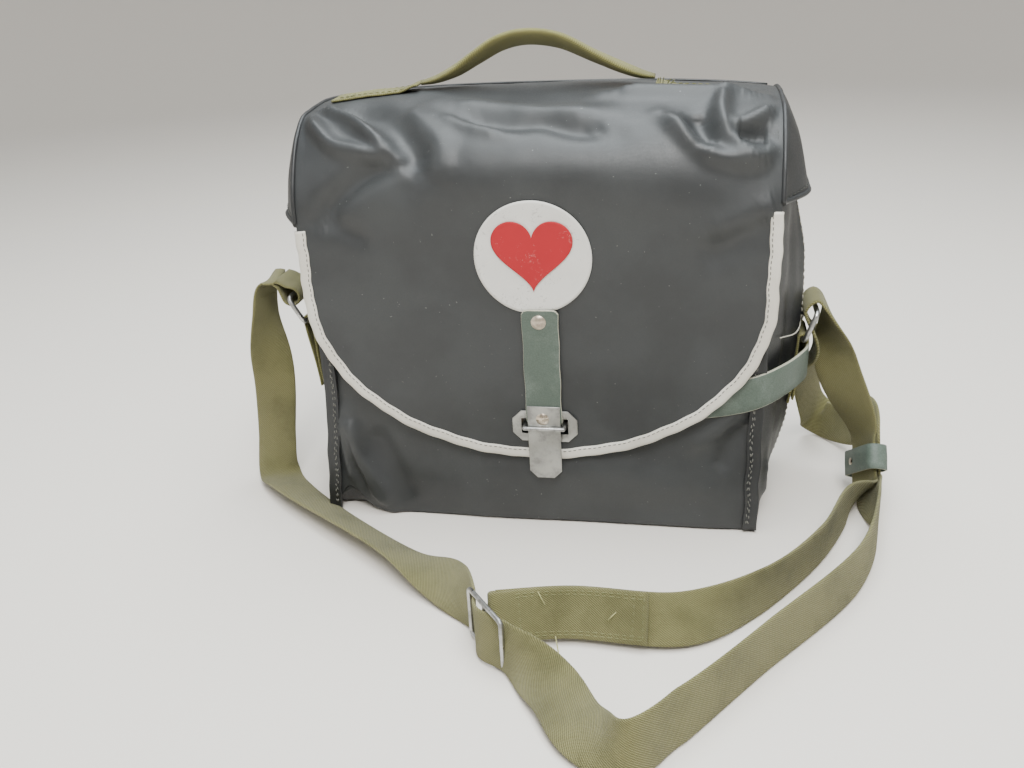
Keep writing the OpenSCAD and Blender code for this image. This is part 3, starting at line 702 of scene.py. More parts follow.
# Side seams: the lid's edge turned under and sewn to the ears
side_curve = smooth_curve(np.c_[np.zeros(12), CROWN_SIDE], 2.0)
for side, word in SIDES:
    low = EAR_LOW[side]
    edge = side_curve[(side_curve[:, 2] > low) | (side_curve[:, 1] > 0)]
    seam = edge + [side * (LID_HALF + 0.6), 0, 0]
    q = wide(seam, (side, 0, 0))
    q[:, 1:3] += 0.4 * join(cloudy(seam, 14.0, side), cloudy(seam, 14.0, 5 + side))
    tube(f"seam_welt_{word}", q, round_section(1.7), (vinyl_painted_shade, "lid", "vinyl_trim"))
    inner = seam[seam[:, 1] < 20].copy()
    inner[:, 0] = side * (LID_HALF - 4.2)
    up_out = np.cross(np.gradient(inner, axis=0), [-1.0, 0, 0])
    dark_row = (thread_dark, "lid", "vinyl_trim")
    stitches(f"seam_stitches_{word}", inner, up_out, dark_row, long=3.4, gap=1.4, r=0.4, lift=0.5)

    # Ear: hangs from the side seam and flares out towards its lower edge
    edge = edge[::-1]
    depth = np.linspace(0, 1, 34)[:, None]
    y = edge[None, :, 1]
    z = edge[None, :, 2] * (1 - depth) + low * depth
    sunk = edge[None, :, 2] - z
    flare = 23 * (np.maximum(sunk, 0) / 70) ** 0.6 * np.sin(np.radians(90 * np.clip((y + 74) / 46, 0, 1)))
    ear = join(side * (LID_HALF + 0.4 + flare), y, z)
    ear[..., 0] += side * (cloudy(ear, 30.0, 2.0 * side) * 1.6 * np.clip(sunk / 20, 0, 1))
    ear[..., 1] -= 0.06 * sunk * ease((y - 30) / 25)
    fabric = (vinyl_painted_shade, "lid", "vinyl", f"lid_ear_{word}")
    cloth(f"ear_{word}", ear, 2.0, fabric, ear[..., 1:3], out=(side, 0, 0))
    tube(f"ear_hem_{word}", wide(ear[-1], (0, 0, 1)), round_section(1.9), (vinyl_painted_shade, "lid", "vinyl_trim"))
    line = ear[-4] + [side * 0.3, 0, 0]
    stitches(f"ear_hem_stitches_{word}", line, (side, 0, 0.2), dark_row, r=0.35, lift=0.3)


# ---- binding ----

def edge_at(u):
    """Points on the flap's edge at u degrees round its lower half, and up its sides beyond 90."""
    u = np.asarray(u, float)
    top = np.where(u < 0, EAR_LOW[-1], EAR_LOW[1]) - 3
    lower = FLAP_ROUND - (FLAP_ROUND - FLAP_LOW) * np.cos(np.radians(u))
    upper = FLAP_ROUND + (top - FLAP_ROUND) * (np.abs(u) - 90) / 30
    beyond = np.abs(u) >= 90
    x = np.where(beyond, np.sign(u) * LID_HALF, LID_HALF * np.sin(np.radians(u)))
    return join(x, np.where(beyond, upper, lower))


u = np.linspace(-119, 119, 300)
edge = edge_at(u)
ahead = unit(edge_at(u + 0.4) - edge_at(u - 0.4))
outward = join(ahead[:, 1], 0, -ahead[:, 0])
waver = 0.35 * np.sin(u * 0.31) + 0.25 * np.sin(u * 0.83 + 1)
path = join(edge[:, 0], flap_y(edge[:, 0], edge[:, 1]) + 1.0, edge[:, 1]) + waver[:, None] * outward
BINDING = [
    (-7, -1.2), (-6.6, -1.9), (-5, -2.1), (-2, -2.35), (0.6, -2), (1.5, -0.9), (1.7, 0),
    (1.5, 0.9), (0.6, 2), (-2, 2.35), (-5, 2.1), (-6.6, 1.9), (-7, 1.2),
]
tube("flap_binding_tape", np.c_[path, outward], BINDING, (piping, "lid", "binding", "flap_binding"))
row = path - 5.3 * outward - [0, 2.05, 0]
stitches(
    "binding_stitches", row, (0, -1, 0), (thread_grey, "lid", "binding"), long=2.6, gap=1.3, r=0.36, lift=0.2
)


# ---- emblem ----

DISC_MID = np.array([3.5, 224.0])
RINGS_A_FACE = 20


def disc_patch(name, rim, lift, thick, what):
    """Patch on the flap, filled from its rim to the emblem's middle, that follows the folds under it."""
    rings = np.r_[np.linspace(0.03, 1, RINGS_A_FACE), np.linspace(1, 0.03, RINGS_A_FACE)]
    flat = DISC_MID + rings[:, None, None] * (rim - DISC_MID)[None]
    raised = np.repeat([lift + thick, lift], RINGS_A_FACE)
    grid = np.stack([flap_point(f[:, 0], f[:, 1], r) for f, r in zip(flat, raised)])
    recalc(make(name, grid.reshape(-1, 3), sleeve(*grid.shape[:2]), what))


a = np.radians(np.linspace(0, 360, 96, endpoint=False))
disc_rim = DISC_MID + 42 * join(np.sin(a), np.cos(a))
disc_patch("emblem_print", disc_rim, 0.7, 0.6, (film_white, "lid", "emblem_white", "emblem_disc"))
heart_rim = DISC_MID + [0, 5.4] + 58 / 32 * join(
    16 * np.sin(a) ** 3, 13 * np.cos(a) - 5 * np.cos(2 * a) - 2 * np.cos(3 * a) - np.cos(4 * a)
)
disc_patch("emblem_heart_print", heart_rim, 1.7, 0.5, (film_red, "lid", "emblem_red", "emblem_heart"))


# ---- bag body ----

CORNER_RISE = 22


def corner_lift(x):
    """How far the front panel's lower edge is pulled up off the floor beside the left corner."""
    return CORNER_RISE * np.exp(-((x + 152) / 11) ** 2)


def settle(p):
    """The filled bag leans out at its lower left corner."""
    x, y, z = np.moveaxis(p, -1, 0)
    near = ease((-x - 115) / 50) * ease((20 - y) / 85) * np.clip(1 - z / 125, 0, 1) ** 1.4
    return join(x - 11 * near, y, z)


def gusset_bulge(z):
    """How far a side wall stands out along its middle."""
    return 26 * np.sin(np.radians(180 * (z + 5) / 330)) ** 0.8


def back_top(x):
    return 322.4 - 6.9 * side_share(x)


PANEL_FOLDS = [
    (6, 4, (-160, -66, 92), (-155, -66, 60), (-148, -66, 24)),
    (11, 6.5, (-153, -66, 92), (-146, -66, 58), (-134, -66, 30), (-124, -66, 4)),
    (-5, 4, (-157, -66, 84), (-151, -66, 56), (-142, -66, 26)),
    (-5, 10, (-136, -66, 80), (-120, -66, 46), (-102, -66, 12)),
    (4.5, 8, (158, -66, 108), (137, -66, 89), (112, -66, 70)),
    (-4.5, 8, (159, -66, 92), (147, -66, 76), (136, -66, 50)),
    (2.5, 14, (120, -66, 40), (40, -66, 52), (-60, -66, 50)),
    (-2, 12, (150, -66, 26), (90, -66, 18), (10, -66, 20)),
]
GUSSET_FOLDS = [
    (3.5, 6, (0, -6, 30), (0, -9, 120), (0, -4, 262)),
    (-3, 8, (0, -30, 40), (0, -34, 150), (0, -26, 255)),
    (-2.5, 8, (0, 24, 60), (0, 30, 200)),
    (3, 5, (0, -50, 60), (0, -44, 30), (0, -20, 8)),
]

x = np.linspace(-BODY_HALF, BODY_HALF, 150)
from_end = BODY_HALF - np.abs(x)
low = BASE_Z + corner_lift(x)
z = low + (269 - low) * np.linspace(0, 1, 96)[:, None] ** 1.2
front = join(x, -BODY_DEEP, z)
swell = relief(front, PANEL_FOLDS) + 1.2 * cloudy(front, 55.0, 1.7) + 0.3 * cloudy(front, 14.0, 6.0)
swell += 4.5 * np.exp(-((z - 32) / 34) ** 2) * ease(from_end / 50)
swell *= ease(from_end / 7 + 0.12) * (1 - 0.75 * ease((z - 110) / 30))
front[..., 1] -= np.clip(swell, -4, 9)
cloth("front_cover", settle(front), 2.0, (vinyl, "bag", "vinyl", "front_panel"), join(x, z), out=(0, -1, 0))

BODY_TRIM = (vinyl_painted_shade, "bag", "vinyl_trim")
BODY_ROW = (thread_grey, "bag", "vinyl_trim")
y, z = np.meshgrid(np.linspace(-BODY_DEEP, BODY_DEEP, 60), np.linspace(BASE_Z, 269.5, 100))
for side, word in SIDES:
    bulge = gusset_bulge(z) * np.cos(np.radians(90 * y / BODY_DEEP))
    wall = join(side * (BODY_HALF + bulge), y, z)
    swell = relief(wall * [0, 1, 1], GUSSET_FOLDS)
    swell += 1.3 * cloudy(wall, 46.0, 4.0 + side) + 0.4 * cloudy(wall, 15.0, 9.0)
    wall[..., 0] += side * swell * ease((BODY_DEEP - np.abs(y)) / 12) * ease((270 - z) / 20)
    wall = settle(wall)
    # The side walls use the darker vinyl copy, whose colour carries painted shade
    fabric = (vinyl_painted_shade, "bag", "vinyl", f"gusset_{word}")
    cloth(f"gusset_cover_{word}", wall, 2.0, fabric, join(y, z), out=(side, 0, 0))
    stitches(
        f"gusset_stitches_{word}", wall[4:-2, 26], (side, -0.2, 0), (thread, "bag", "vinyl_trim"),
        long=3.4, gap=1.8, r=0.4, lift=0.3,
    )
    tube(f"gusset_hem_{word}", wide(wall[-1], (0, 0, 1)), round_section(2.0), BODY_TRIM)

# A loose pale thread across the right gusset
cross = np.array([[gx, gy, 155 + 3.5 * math.sin(gy / 14)] for gx, gy in (
    (178, -54), (183, -46), (187.5, -38), (191, -30), (193.5, -22), (195.6, -14), (196.6, -6),
)])
cross = smooth_curve(cross, 2.0)
wire("gusset_loose_thread", cross, 0.5, (thread, "bag", "vinyl_trim"), closed=False, sides=6)

x = np.linspace(-BODY_HALF, BODY_HALF, 90)
top = back_top(x)
z = BASE_Z + (top - BASE_Z) * np.linspace(0, 1, 80)[:, None]
back = join(x, BODY_DEEP, z)
swell = 1.6 * cloudy(back, 70.0, 2.2) + 0.5 * cloudy(back, 20.0, 7.0)
swell += 2.5 * np.sin(np.pi * np.clip(z / 300, 0, 1))
back[..., 1] += np.clip(swell, -1.5, 5) * ease((BODY_HALF - np.abs(x)) / 12) * ease((top - z) / 24)
cloth("back_cover", back, 2.0, (vinyl_painted_shade, "bag", "vinyl", "back_panel"), join(x, z), out=(0, 1, 0))

x, y = np.meshgrid(x, np.linspace(-BODY_DEEP, BODY_DEEP, 40))
under = join(x, y, 0.2 + corner_lift(x) * np.exp(-((y + BODY_DEEP) / 7) ** 2))
# The base uses the darker vinyl copy with painted shade, so behind the lifted corner it shows as a dark
# hollow
fabric = (vinyl_painted_shade, "bag", "vinyl", "base_panel")
cloth("base_cover", settle(under), 1.8, fabric, join(x, y), out=(0, 0, -1))

# Welts down the corners, where the panels and gussets are sewn together edge to edge
WELT_X, WELT_Y = 163.5, 66.8
welt_cut = band_section(10.5, 3.2, crown=0.8)
for facing, word, top_z in ((-1, "front", 243.0), (1, "rear", 266.0)):
    for side, hand in SIDES:
        welt = join(side * WELT_X, facing * WELT_Y, np.arange(2.5, top_z, 3.0))
        welt[:, 0] += 1.5 * cloudy(welt, 22.0, side)
        welt[:, 1] += facing * (0.9 + 1.0 * cloudy(welt, 13.0, 3.0))
        if facing < 0:
            welt = settle(welt)
        nodes = [f"{word}_seam_flanges"] if hand == "left" else []
        tube(f"{word}_welt_{hand}", wide(welt, (1, 0, 0)), welt_cut, (*BODY_TRIM, *nodes))
        for k, shift in enumerate((1.6, 2.9)):
            run = welt[2:-2] + [-side * shift, facing * 2.1, 0]
            run[:, 0] += 0.7 * np.sin(run[:, 2] * 0.9 + k * 2)
            stitches(
                f"{word}_welt_stitches_{hand}_{k + 1}", run, (0, facing, 0), BODY_ROW,
                long=2.6, gap=2.6 + k, r=0.42, lift=0.3,
            )

# Back panel's top edge turned over and carried on into the lid
x = np.linspace(-166, 166, 60)
back_z = back_top(x)
lid_z = 325 - 7 * side_share(x)
strip = np.stack([join(x, y, z) for y, z in (
    (66.6, back_z - 26), (66.9, back_z - 14), (66.8, back_z - 5), (66.2, back_z + 1.5),
    (64.4, lid_z + 1.4), (60, lid_z + 2.2), (53, lid_z + 2.6),
)], axis=1)
fabric = (vinyl_painted_shade, None, "vinyl_trim")
hinge = cloth("lid_hinge_strip", strip, 1.2, fabric, strip[..., ::2], out=(0, 1, 0.3))
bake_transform(hinge)
for word, below, y in (("low", 22.0, 67.2), ("high", 16.0, 67.3)):
    line = join(x, y, back_z - below)
    stitches(f"hinge_stitches_{word}", line, (0, 1, 0), BODY_ROW, r=0.4)

INNER_HALF = 158
hem = join(np.linspace(-INNER_HALF, INNER_HALF, 60), -62.2, 261.0)
hem[:, 1] += 0.4 * cloudy(hem, 30.0, 2.0)
tube("mouth_hem_tape", wide(hem, (0, 0, 1)), band_section(18, 1.4), (lining, "bag", "lining", "mouth_hem"))
stitches("mouth_hem_stitches", hem + [0, 0.9, -7.0], (0, 1, 0), (thread, "bag", "lining"), r=0.35)
x, z = np.meshgrid(np.linspace(-INNER_HALF, INNER_HALF, 70), np.linspace(5.2, 109, 26))
y = 1.2 + 1.4 * cloudy(join(x, z, z), 60.0, 1.0) * ease((INNER_HALF - np.abs(x)) / 20)
cloth("divider_cloth", join(x, y, z), 2.4, (lining, "bag", "lining", "divider"), join(x, z), out=(0, 1, 0))
card = from_cad("base_board", "base_board_card", board, "bag", bevel=0.6)
for v in card.data.vertices:
    if v.co.x < -0.1 and v.co.y < -0.03:
        v.co.z += CORNER_RISE * MM


# ---- closure ----

# Leather strap over the flap, from its outline in x and z: eased face edge and pale cut sides
STRAP_BACK, STRAP_THICK, EASED = 1.4, 2.2, 0.9
strap_rim = []
for z in np.arange(93.0, 181.0, 2.0):
    strap_rim.append((20.5 + 0.25 * math.sin(z * 0.21), z))
strap_rim += [(20.5, 182), (18.6, 184.4), (16, 185)] + [(x, 185) for x in np.arange(13, 0, -3.0)]
strap_rim += [(-2, 185), (-4.6, 184.4), (-6.5, 182)]
for z in np.arange(180.0, 92.0, -2.0):
    strap_rim.append((-6.5 + 0.25 * math.sin(z * 0.17), z))
rim = np.array(strap_rim)
ahead = unit(np.roll(rim, -1, axis=0) - np.roll(rim, 1, axis=0))
inward = join(-ahead[:, 1], ahead[:, 0])
loops = []
for inset, depth in ((0, 0), (0, 0.7), (0.35, 0.93), (1, 1)):
    x, z = (rim + inward * inset * EASED).T
    loops.append(join(x, mid_flap_y(z) - STRAP_BACK - depth * STRAP_THICK, z))
hide_strap = (leather, None, "leather", "closing_strap_root", "closing_strap")
closing = make("closing_strap_leather", np.concatenate(loops), sleeve(4, len(rim)), hide_strap, smooth=False)
paint(closing, leather_edge, lambda f: f.index < 2 * len(rim))
bm = bmesh.new()
bm.from_mesh(closing.data)
bmesh.ops.triangulate(bm, faces=[f for f in bm.faces if len(f.verts) > 4])
for cut in np.arange(94.0, 184.0, 2.0):
    bmesh.ops.bisect_plane(
        bm, geom=bm.verts[:] + bm.edges[:] + bm.faces[:], plane_co=(0, 0, cut * MM), plane_no=(0, 0, 1)
    )
bm.to_mesh(closing.data)
bm.free()
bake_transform(closing)
from_cad("closing_tongue", "closing_tongue_steel", zinc, "strap_tongue", bevel=0.35)
from_cad("slot_plate", "slot_plate_steel", zinc, "lid", bevel=0.4)
from_cad("tongue_rivet", "tongue_rivet_head", rivet_metal, "strap_tongue")
from_cad("strap_rivet", "strap_rivet_head", rivet_metal, "lid")
from_cad("staple", "staple_wire", wire_metal, "bag")
from_cad("staple_plate", "staple_plate_steel", zinc, "bag", bevel=0.3)
from_cad("staple_rivets", "staple_rivet_heads", rivet_metal, "bag")


# ---- handle ----

HANDLE_Y = 12.0
HANDLE_HALF = 12.5
# Along the bag, height, half of the width and sideways tilt in degrees
HANDLE = [
    (-91.6, 333.6, 5, 0), (-80, 336, 9, 2), (-64, 342, 12.5, 8), (-48, 351, 12.5, 16), (-31, 360, 12.5, 22),
    (-12, 364, 12.5, 24), (13, 361, 12.5, 24), (40, 349, 12.5, 14), (60, 340.5, 12, 5), (74, 335.5, 9, 2),
    (83.6, 333.6, 5, 0),
]
arc = smooth_curve([(x, HANDLE_Y, z, half, tilt) for x, z, half, tilt in HANDLE], 2.0)
tilt = np.radians(arc[:, 4:])
rise = np.cross(unit(np.gradient(arc[:, :3], axis=0)), [0, 1.0, 0])
width = np.cos(tilt) * [0, 1.0, 0] - np.sin(tilt) * rise
roll_cut = [(HANDLE_HALF * math.cos(a), 4.3 * math.sin(a)) for a in np.radians(np.arange(0, 360, 15.0))]
band = (webbing_pale, "handle", "webbing", "handle_web")
grip = tube("handle_grip", np.c_[arc[:, :3], width], roll_cut, band)
co = np.array([v.co for v in grip.data.vertices]).reshape(len(arc), -1, 3)
mid = co.mean(axis=1, keepdims=True)
co = mid + (co - mid) * np.clip(arc[:, 3] / HANDLE_HALF, 0.4, 1)[:, None, None]
grip.data.vertices.foreach_set("co", co.ravel())


def lid_top_z(x, y=HANDLE_Y):
    i = int(np.clip(np.searchsorted(lid_x, x), 1, len(lid_x) - 1))
    col = lid_skin[i, :60]
    return float(np.interp(-y, -col[:, 1], col[:, 2]))


lid_thread = (thread_olive, "lid", "webbing")
for word, a, b, root, rise in (("left", -161.5, -92.5, -92.5, 4.2), ("right", 84.5, 134, 84.5, 3.2)):
    xs = np.arange(a, b + 0.1, 3.0)
    q = []
    for x, h in zip(xs, 1.0 + rise * ease(1 - np.abs(xs - root) / 16)):
        near, mid_z, far = (lid_top_z(x, y) for y in (0, HANDLE_Y, 24))
        q.append((x, HANDLE_Y, max((near + far) / 2, mid_z) + h, 0, 24, far - near))
    q = np.array(q)
    band = (webbing_pale, "lid", "webbing", f"handle_tail_{word}")
    tube(f"handle_tail_band_{word}", q, band_section(25, 1.9), band)
    for k, off in enumerate((-10, 10), 1):
        stitches(f"tail_stitches_{word}_{k}", q[2:-3, :3] + [0, off, 1.1], (0, 0, 1), lid_thread)
    for k, spot in enumerate((0.22, 0.8), 1):
        x = xs[0] + spot * (xs[-1] - xs[0])
        line = join(x, HANDLE_Y + np.linspace(-10, 10, 12), np.interp(x, q[:, 0], q[:, 2]) + 1.1)
        stitches(f"tail_bar_{word}_{k}", line, (0, 0, 1), lid_thread, r=0.5)

# Frayed threads where the right end of the handle is sewn down
for k in range(5):
    start = np.array([86 + 2.0 * k, 3 - 1.5 * k, lid_top_z(88) + 3.5])
    lean = rng.uniform(-1, 1, 3) * [3, 2, 1]
    path = smooth_curve([start, start + lean * 0.5 + [1, -1, 3.5], start + lean + [3, -2, 6.5]], 1.0)
    wire(f"handle_fray_{k + 1}", path, 0.35, lid_thread, closed=False, sides=5)


# ---- ring fittings and side strap ----

RING_X = 198.7
RINGS = {"left": (-1, 150.0, math.radians(30)), "right": (1, 142.0, math.radians(20))}
bag_thread = (thread_olive, "bag", "webbing")
for word, (side, ring_z, lean) in RINGS.items():
    slant = np.array([math.sin(lean), 0, math.cos(lean)])
    outline = rounded(22, 12, 4.5)
    points = [RING_X, 0, ring_z] + 12 * slant + outline[:, :1] * [0, 1, 0] + outline[:, 1:] * slant
    points[:, 0] *= side
    wire(f"ring_wire_{word}", points, 2.0, (wire_metal, f"{word}_ring", "zinc", f"ring_{word}"))

    # Chape: webbing doubled round the ring's lower bar and sewn to the gusset
    foot = BODY_HALF + gusset_bulge(88) + 1.6
    loop = [(foot, 88), (foot + 2.4, 106), (RING_X - 4.2, ring_z - 14)]
    for a in np.radians(np.arange(190, -40, -20.0)):
        loop.append((RING_X + 3.5 * math.cos(a), ring_z + 3.5 * math.sin(a)))
    loop += [(RING_X + 1.6, ring_z - 12), (foot + 5.2, 110), (foot + 3.3, 91)]
    q = smooth_curve([(side * x, 0, z, 0, 1, 0) for x, z in loop], 1.5)
    tube(f"chape_webbing_{word}", q, band_section(34, 1.9), (webbing_pale, "bag", "webbing", f"chape_{word}"))
    outer = ((foot + 3.3, 92), (foot + 5.2, 110), (RING_X + 1.3, ring_z - 14))
    for k, off in enumerate((-13.5, 13.5, -11, 11), 1):
        line = [(side * (x + 1.1), off, z) for x, z in outer]
        stitches(f"chape_stitches_{word}_{k}", line, (side, 0, 0.1), bag_thread)
    for k, z in enumerate((94.0, ring_z - 16), 1):
        x = np.interp(z, [91, 110, ring_z - 12], [foot + 3.3, foot + 5.2, RING_X + 1.6]) + 1.1
        line = join(side * x, np.linspace(-13, 13, 12), z)
        stitches(f"chape_bar_{word}_{k}", line, (side, 0, 0.1), bag_thread, r=0.5)

SIDE_STRAP = [
    [85, -67, 106, 0, 0, 1], [140, -68.5, 113, 0, 0, 1], [166, -69.5, 122, 0, 0, 1],
    [182, -60, 127, 0, 0, 1], [195, -40, 128, 0, 0, 1], [202, -18, 126, 0, 0, 1],
    [202, 18, 125, 0, 0, 1], [192, 46, 124, 0, 0, 1], [176, 66, 123, 0, 0, 1],
    [158, 69.5, 122, 0, 0, 1], [120, 67, 121, 0, 0, 1],
]
HIDE_CUT = [
    (-12.5, -0.8), (-12.1, -1.1), (-6, -1.15), (0, -1.15), (6, -1.15), (12.1, -1.1), (12.5, -0.8),
    (12.5, 0.8), (12.1, 1.1), (6, 1.15), (0, 1.15), (-6, 1.15), (-12.1, 1.1), (-12.5, 0.8),
]
q = smooth_curve(SIDE_STRAP, 2.5)
side_band = tube("side_strap_leather", q, HIDE_CUT, (leather, "bag", "leather", "side_strap"))
cut_sides = {6, 5, 7, 13, 12, 0}
count = (len(q) - 1) * len(HIDE_CUT)
paint(side_band, leather_edge, lambda f: f.index >= count or f.index % len(HIDE_CUT) in cut_sides)
from_cad("side_strap_rivets", "side_strap_rivet_heads", rivet_metal, "bag")


# ---- shoulder strap fittings ----

# End of the shoulder strap turned over the left ring's upper bar and sewn down
_, ring_z, lean = RINGS["left"]
bar_x, bar_z = -(RING_X + 24 * math.sin(lean)), ring_z + 24 * math.cos(lean)
loop = [(-13, 12.2), (-8, 10.8), (-3, 8.2)]
loop += [(7.5 * math.cos(a), 7.5 * math.sin(a)) for a in np.radians(np.arange(70, -141, -30.0))]
loop += [(-8.2, 1.5), (-10.6, 7.5), (-14.5, 10)]
q = smooth_curve([(bar_x + x, 0, bar_z + z, 0, 1, 0) for x, z in loop], 1.5)
tube("strap_end_webbing", q, band_section(STRAP_W, 2.1), (webbing, "bag", "webbing", "strap_end_loop"))
first_w, first_n = frames(line_of_strap)[1:]
for k, at in enumerate((6, 9), 1):
    run = line_of_strap[at, :3] + np.linspace(-15, 15, 14)[:, None] * first_w[at]
    for word, face in (("in", -first_n[at]), ("out", first_n[at])):
        stitches(f"strap_end_stitches_{k}_{word}", run + face * 1.4, face, bag_thread, r=0.5)

tail_w, tail_n = frames(tail_line)[1:]
for k, off in enumerate((-14.2, 14.2, -12, 12), 1):
    run = (tail_line[:, :3] + tail_w * off + tail_n * 1.35)[1:30]
    stitches(f"sewn_end_stitches_{k}", run, tail_n[1:30], bag_thread, r=0.5)
for k, at in enumerate((1, 3, 28), 1):
    run = tail_line[at, :3] + np.linspace(-14, 14, 14)[:, None] * tail_w[at] + tail_n[at] * 1.35
    stitches(f"sewn_end_bar_{k}", run, tail_n[at], bag_thread, r=0.5)
for k, at, off, reach in ((1, 20, 15.0, (4, -14, -3)), (2, 22, -6.0, (-6, 5, 8)), (3, 8, 3.0, (5, 2, 5))):
    root = tail_line[at, :3] + tail_w[at] * off + tail_n[at] * 1.5
    path = smooth_curve([root, root + np.array(reach) * 0.5 + tail_n[at] * 3, root + reach], 1.0)
    path[:, 2] = np.maximum(path[:, 2], 0.6)
    wire(f"strap_loose_thread_{k}", path, 0.4, (thread_pale, "bag", "webbing"), closed=False, sides=6)

# Slider: a wire frame on edge between two posts, with a bar down its middle
front_post, rear_post = np.array([3.0, -249.0]), np.array([-25.0, -215.0])
post_mid = (front_post + rear_post) / 2
reach = np.append(unit(front_post - rear_post), 0)
outline = rounded(22.0, 18.5, 3.2)
points = np.append(post_mid, 20.4) + outline[:, :1] * reach + outline[:, 1:] * [0, 0, 1.0]
wire("slider_frame", points, 1.7, (wire_metal, "bag", "zinc", "strap_slider"))
post = join(*post_mid, np.linspace(2.0, 38.8, 12))
wire("slider_bar", post, 1.7, (wire_metal, "bag", "zinc"), closed=False)

# Keeper: a leather loop round the two layers of strap, leaned as they are
KEEPER_AT = [256, -4, 33]
tip = np.array(Matrix.Rotation(-math.atan2(28, 34), 3, "X") @ Matrix.Rotation(math.radians(20), 3, "Z"))
outline = rounded(6.9, 21.4, 5.5, n=9)
bow = 1.2 * np.cos(np.pi * outline[:, 1] / 50)
outline[:, 0] += np.sign(outline[:, 0]) * bow * (np.abs(outline[:, 0]) > 5)
ahead = unit(np.roll(outline, -1, axis=0) - np.roll(outline, 1, axis=0))
outward = join(ahead[:, 1], -ahead[:, 0])
section = [
    (-1, -9.6), (-1, -4), (-0.85, 0), (-1, 4), (-1, 9.6), (-0.6, 10), (0.6, 10),
    (1, 9.6), (1.1, 4), (1.2, 0), (1.1, -4), (1, -9.6), (0.6, -10), (-0.6, -10),
]
rows, cols = len(outline), len(section)
verts = []
for p, o in zip(outline, outward):
    verts += [tip @ [*(p + off * o), along] + KEEPER_AT for off, along in section]
faces = [tuple(v % len(verts) for v in f) for f in grid_faces(rows + 1, cols, closed=True)]
keeper = make("keeper_leather", verts, faces, (leather, "keeper", "leather", "strap_keeper"))
paint(keeper, leather_edge, lambda f: f.index % cols in (5, 12))
recalc(keeper)
from_cad("keeper_rivet", "keeper_rivet_head", rivet_metal, "keeper")


# ---- contents ----

def pillow(name, low, high, what, power, dent, seed):
    """Soft block between two corners, rounded off and dented."""
    material, body, slot, *nodes = what
    bm = bmesh.new()
    bmesh.ops.create_cube(bm, size=2.0)
    bmesh.ops.subdivide_edges(bm, edges=bm.edges[:], cuts=13, use_grid_fill=True)
    co = np.array([v.co for v in bm.verts])
    co /= (np.abs(co) ** power).sum(axis=1, keepdims=True) ** (1 / power)
    low, high = np.array(low, float), np.array(high, float)
    p = (low + high) / 2 + co * (high - low) / 2
    p -= co * (dent * (0.5 + 0.5 * cloudy(p, 22.0, seed)))[:, None]
    for v, c in zip(bm.verts, p * MM):
        v.co = c
    me = bpy.data.meshes.new(name)
    bm.to_mesh(me)
    bm.free()
    me.materials.append(material)
    me.polygons.foreach_set("use_smooth", [True] * len(me.polygons))
    place(name, me, body, nodes)


def tie(name, centre, half_a, half_b, axis):
    """Thread round a pack, in the plane across the axis."""
    outline = rounded(half_a, half_b, min(half_a, half_b) * 0.4, n=6)
    wire(name, np.insert(outline, axis, 0, axis=1) + centre, 0.9, (thread, "bag", "gauze"), sides=6)


# The first piece of each group stands for its CAD node
for k in range(6):
    cx, cy = (k - 2.5) * 53, -32
    turns = np.arange(0, 9.6, 1 / 26)
    r = 5.0 + 20.2 * turns / turns[-1] + 0.25 * np.sin(turns * 9 + k)
    a = turns * 2 * math.pi + k
    q = wide(join(cx + r * np.cos(a), cy + r * np.sin(a), 42.6 + 0.5 * np.sin(a * 0.7 + k)), (0, 0, 1))
    tube(f"bandage_roll_{k + 1}", q, band_section(74, 1.5), (gauze, "bag", "gauze", *["bandage_rolls"][k:]))
for k in range(4):
    x = (k - 1.5) * 78 - 37
    what = (wrapper, "bag", "wrapper", *["dressing_packs"][k:])
    pillow(f"dressing_pack_{k + 1}", (x, -58, 85.2), (x + 74, -6, 113), what, 4.5, 2.0, k)
    tie(f"dressing_tie_{k + 1}", (x + 37, -32, 99), 25.4, 13.4, 0)
for k in range(3):
    x = (k - 1) * 100 - 47
    what = (gauze, "bag", "gauze", *["triangular_bandages"][k:])
    pillow(f"triangular_bandage_{k + 1}", (x, 5, 5.2), (x + 94, 57, 113), what, 6.0, 2.4, 5 + k)
    tie(f"triangular_tie_{k + 1}", (x + 47, 31, 62), 46.6, 25.6, 2)
from_cad("tape_spool", "tape_spool_tin", tin, "bag", bevel=0.5)
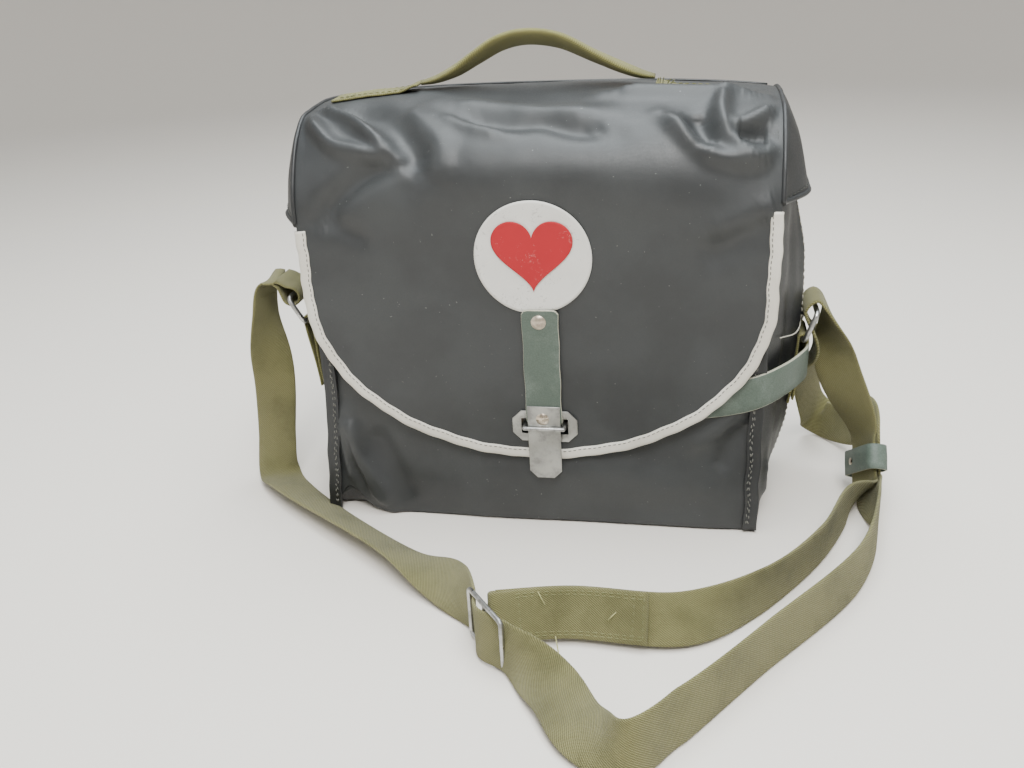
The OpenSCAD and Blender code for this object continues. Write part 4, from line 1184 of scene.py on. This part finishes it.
from_cad("adhesive_tape", "adhesive_tape_roll", plaster, "bag", bevel=0.8)
from_cad("scissors_lower_half", "scissors_blade_lower", steel, "bag", bevel=0.4)
from_cad("scissors_screw", "scissors_screw_head", steel, "bag", bevel=0.3)
from_cad("scissors_upper_half", "scissors_blade_upper", steel, "scissors_half", bevel=0.4)


# ---- floor and light ----

def area_light(name, spot, target, size, power, tint):
    data = bpy.data.lights.new(name, "AREA")
    data.shape = "RECTANGLE"
    data.size, data.size_y = size
    data.energy = power
    data.color = tint
    ob = bpy.data.objects.new(name, data)
    ob.location = spot
    ob.rotation_euler = (Vector(target) - Vector(spot)).to_track_quat("-Z", "Y").to_euler()
    scene.collection.objects.link(ob)


area_light("key", (0.3, -1.25, 1.8), (0, 0, 0.15), (0.9, 0.7), 42, (1, 0.985, 0.96))
area_light("fill", (-1.5, -0.9, 0.9), (0, 0, 0.15), (1.2, 1.0), 5, (0.95, 0.98, 1))
area_light("top", (0.1, 0.05, 1.6), (0, 0, 0.2), (1.7, 1.1), 48, (0.92, 0.98, 1))
world = bpy.data.worlds.new("studio")
world.use_nodes = True
background = world.node_tree.nodes["Background"]
background.inputs["Color"].default_value = (0.95, 0.97, 1, 1)
background.inputs["Strength"].default_value = 0.55
scene.world = world
floor_finish = Surface("floor_finish", Roughness=0.7, Specular_IOR_Level=0.3)
floor_finish.feed("Base Color", (0.78, 0.74, 0.68, 1))
# Flat round the bag and curved up far away, so that no horizon shows
sweep = np.radians(np.linspace(0, 80, 17))
reach = np.r_[600, 1600, 2600 + 1800 * np.sin(sweep), 4600]
climb = np.r_[0, 0, 1800 * (1 - np.cos(sweep)), 3200] - 0.2
around = np.radians(np.arange(0, 360, 5.0))
dish = join(np.outer(reach, np.cos(around)), np.outer(reach, np.sin(around)), climb[:, None])
floor_faces = grid_faces(*dish.shape[:2], closed=True) + [tuple(range(len(around) - 1, -1, -1))]
floor = make("floor", dish.reshape(-1, 3), floor_faces, (floor_finish.material, None, None))
